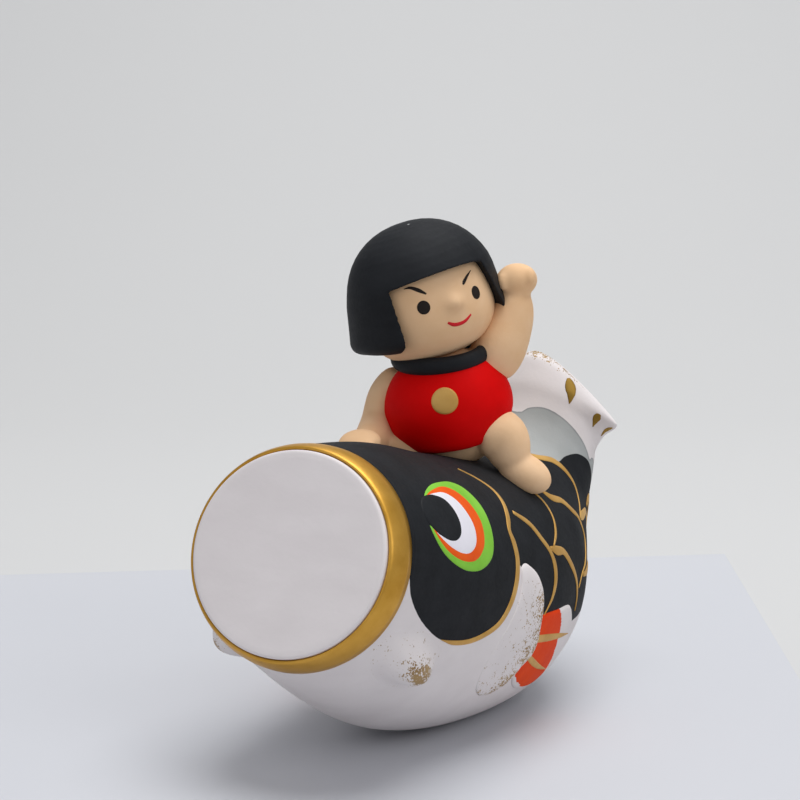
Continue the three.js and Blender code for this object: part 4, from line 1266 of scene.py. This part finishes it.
# The face is cut out along its outline; the lock on the left cheek narrows to a point.
wedge_rings = []
for depth in (0, -1.7 * hair_radius):
    wedge_rings.append([
        crown @ Vector((x * HEAD_RADIUS, depth, z * HEAD_RADIUS)) * MM for x, z in FACE_OPENING
    ])
face_wedge = pulled("face_wedge", wedge_rings)
finished(child_hair, "BOOLEAN", operation="DIFFERENCE", object=face_wedge, solver="EXACT")
bpy.data.objects.remove(face_wedge)
finished(child_hair, "REMESH", mode="VOXEL", voxel_size=HAIR_VOXEL * MM)
finished(child_hair, "SMOOTH", factor=0.5, iterations=3)
chosen(child_hair)
bpy.ops.object.shade_smooth()
child_hair.data.materials.append(black_material)
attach(child_hair, "root")
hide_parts("hair_cap")

# ----------------------------------------
# Table, light and camera
# A pale table top that sweeps up behind the figure, large soft lights and a long lens.
# ----------------------------------------
BOARD_THICKNESS = 6.0
BOARD_LOW = (0.56, 0.57, 0.605)
BOARD_HIGH = (0.575, 0.585, 0.62)
PAPER_LOW = (0.60, 0.60, 0.597)
PAPER_HIGH = (0.615, 0.615, 0.612)
BOARD_CORNERS = [(-975, -1500), (947, -1500), (2, 133), (-975, -596)]  # millimetres on the table


def stage_paint(name, rough, scale, low, high):
    """A plain matt paint, faintly uneven, for the stage."""
    paint = bpy.data.materials.new(name)
    paint.use_nodes = True
    shader = paint.node_tree.nodes["Principled BSDF"]
    shader.inputs["Roughness"].default_value = rough
    tone = blended(paint.node_tree, noise(paint.node_tree, scale), low, high)
    paint.node_tree.links.new(tone, shader.inputs["Base Color"])
    return paint


board_levels = (-BOARD_THICKNESS, 0)
slab = pulled("board", [[Vector((x, y, up)) * MM for x, y in BOARD_CORNERS] for up in board_levels])
bpy.ops.object.shade_flat()
slab.data.materials.append(stage_paint("board paint", 0.55, 4.0, BOARD_LOW, BOARD_HIGH))
slab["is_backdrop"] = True

# The backdrop is one sheet that sweeps up from the floor in a wide curve.
SWEEP_RADIUS = 1100.0
SWEEP_START = 500.0
SWEEP_FLOOR = -40.0
SWEEP_STEPS = 24
SHEET_FRONT = -2500
SHEET_TOP = 4000
SHEET_HALF = 4000
SHEET_THICK = 20
away = Vector((-0.5, 0.866, 0))
across = Vector((0.866, 0.5, 0))
sweep_line = [(SHEET_FRONT, 0, 0)]
for k in range(SWEEP_STEPS + 1):
    turn = math.radians(90 * k / SWEEP_STEPS)
    distance = SWEEP_START + SWEEP_RADIUS * math.sin(turn)
    sweep_line.append((distance, SWEEP_RADIUS * (1 - math.cos(turn)), turn))
sweep_line.append((SWEEP_START + SWEEP_RADIUS, SHEET_TOP, math.radians(90)))
sheet_section = [
    (-SHEET_HALF, -SHEET_THICK), (SHEET_HALF, -SHEET_THICK), (SHEET_HALF, 0), (-SHEET_HALF, 0),
]
sweep_rings = []
for distance, height, turn in sweep_line:
    normal = away * -math.sin(turn) + Vector((0, 0, math.cos(turn)))
    middle = away * distance + Vector((0, 0, height + SWEEP_FLOOR))
    sweep_rings.append([
        (middle + across * side + normal * depth) * MM
        for side, depth in sheet_section
    ])
backdrop = pulled("backdrop", sweep_rings)
backdrop_paint = stage_paint("backdrop paper", 0.85, 3.0, PAPER_LOW, PAPER_HIGH)
paper_shader = backdrop_paint.node_tree.nodes["Principled BSDF"]
paper_shader.inputs["Specular IOR Level"].default_value = 0.1
backdrop.data.materials.append(backdrop_paint)
backdrop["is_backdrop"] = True

VIEW_AZIMUTH = math.radians(30)
VIEW_ELEVATION = math.radians(10)
VIEW_DISTANCE = 420.0
VIEW_ASIDE = -9.4
VIEW_UP = 56.636
LENS = 100.17
toward = Vector((
    math.sin(VIEW_AZIMUTH) * math.cos(VIEW_ELEVATION),
    -math.cos(VIEW_AZIMUTH) * math.cos(VIEW_ELEVATION),
    math.sin(VIEW_ELEVATION),
))
right = Vector((math.cos(VIEW_AZIMUTH), math.sin(VIEW_AZIMUTH), 0))
upright = toward.cross(right)
eye_at = (right * VIEW_ASIDE + upright * VIEW_UP + toward * VIEW_DISTANCE) * MM
camera_data = bpy.data.cameras.new("camera")
camera_data.lens = LENS
camera_data.sensor_width = 36
camera_data.clip_start = 0.01
camera = bpy.data.objects.new("camera", camera_data)
camera.matrix_world = Matrix.Translation(eye_at) @ Matrix((right, upright, toward)).transposed().to_4x4()
bpy.context.scene.collection.objects.link(camera)
bpy.context.scene.camera = camera


def soft_light(name, place, aim, size, power, colour=(1, 1, 1)):
    """A large soft lamp at a place, in metres, aimed at a point."""
    lamp_data = bpy.data.lights.new(name, "AREA")
    lamp_data.shape = "DISK"
    lamp_data.size = size
    lamp_data.energy = power
    lamp_data.color = colour
    lamp = bpy.data.objects.new(name, lamp_data)
    lamp.location = place
    lamp.rotation_euler = (Vector(aim) - Vector(place)).to_track_quat("-Z", "Y").to_euler()
    bpy.context.scene.collection.objects.link(lamp)


soft_light("overhead", (0.1, 0.1, 1.1), (0, 0, 0.04), 0.9, 9.5)
soft_light("right_window", (1.0, -0.35, 0.75), (0, 0, 0.05), 0.7, 2.4)
soft_light("front_fill", (-0.35, -1.2, 0.6), (0, 0, 0.05), 0.9, 1.1)
soft_light("backdrop_light", (-0.3, 0.7, 1.3), (-0.6, 1.4, 0.4), 1.0, 6.0)
world = bpy.data.worlds.new("studio")
world.use_nodes = True
world.node_tree.nodes["Background"].inputs["Color"].default_value = (0.93, 0.95, 1.0, 1)
world.node_tree.nodes["Background"].inputs["Strength"].default_value = 0.42
bpy.context.scene.world = world
bpy.context.scene.view_settings.view_transform = "Standard"

low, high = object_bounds()
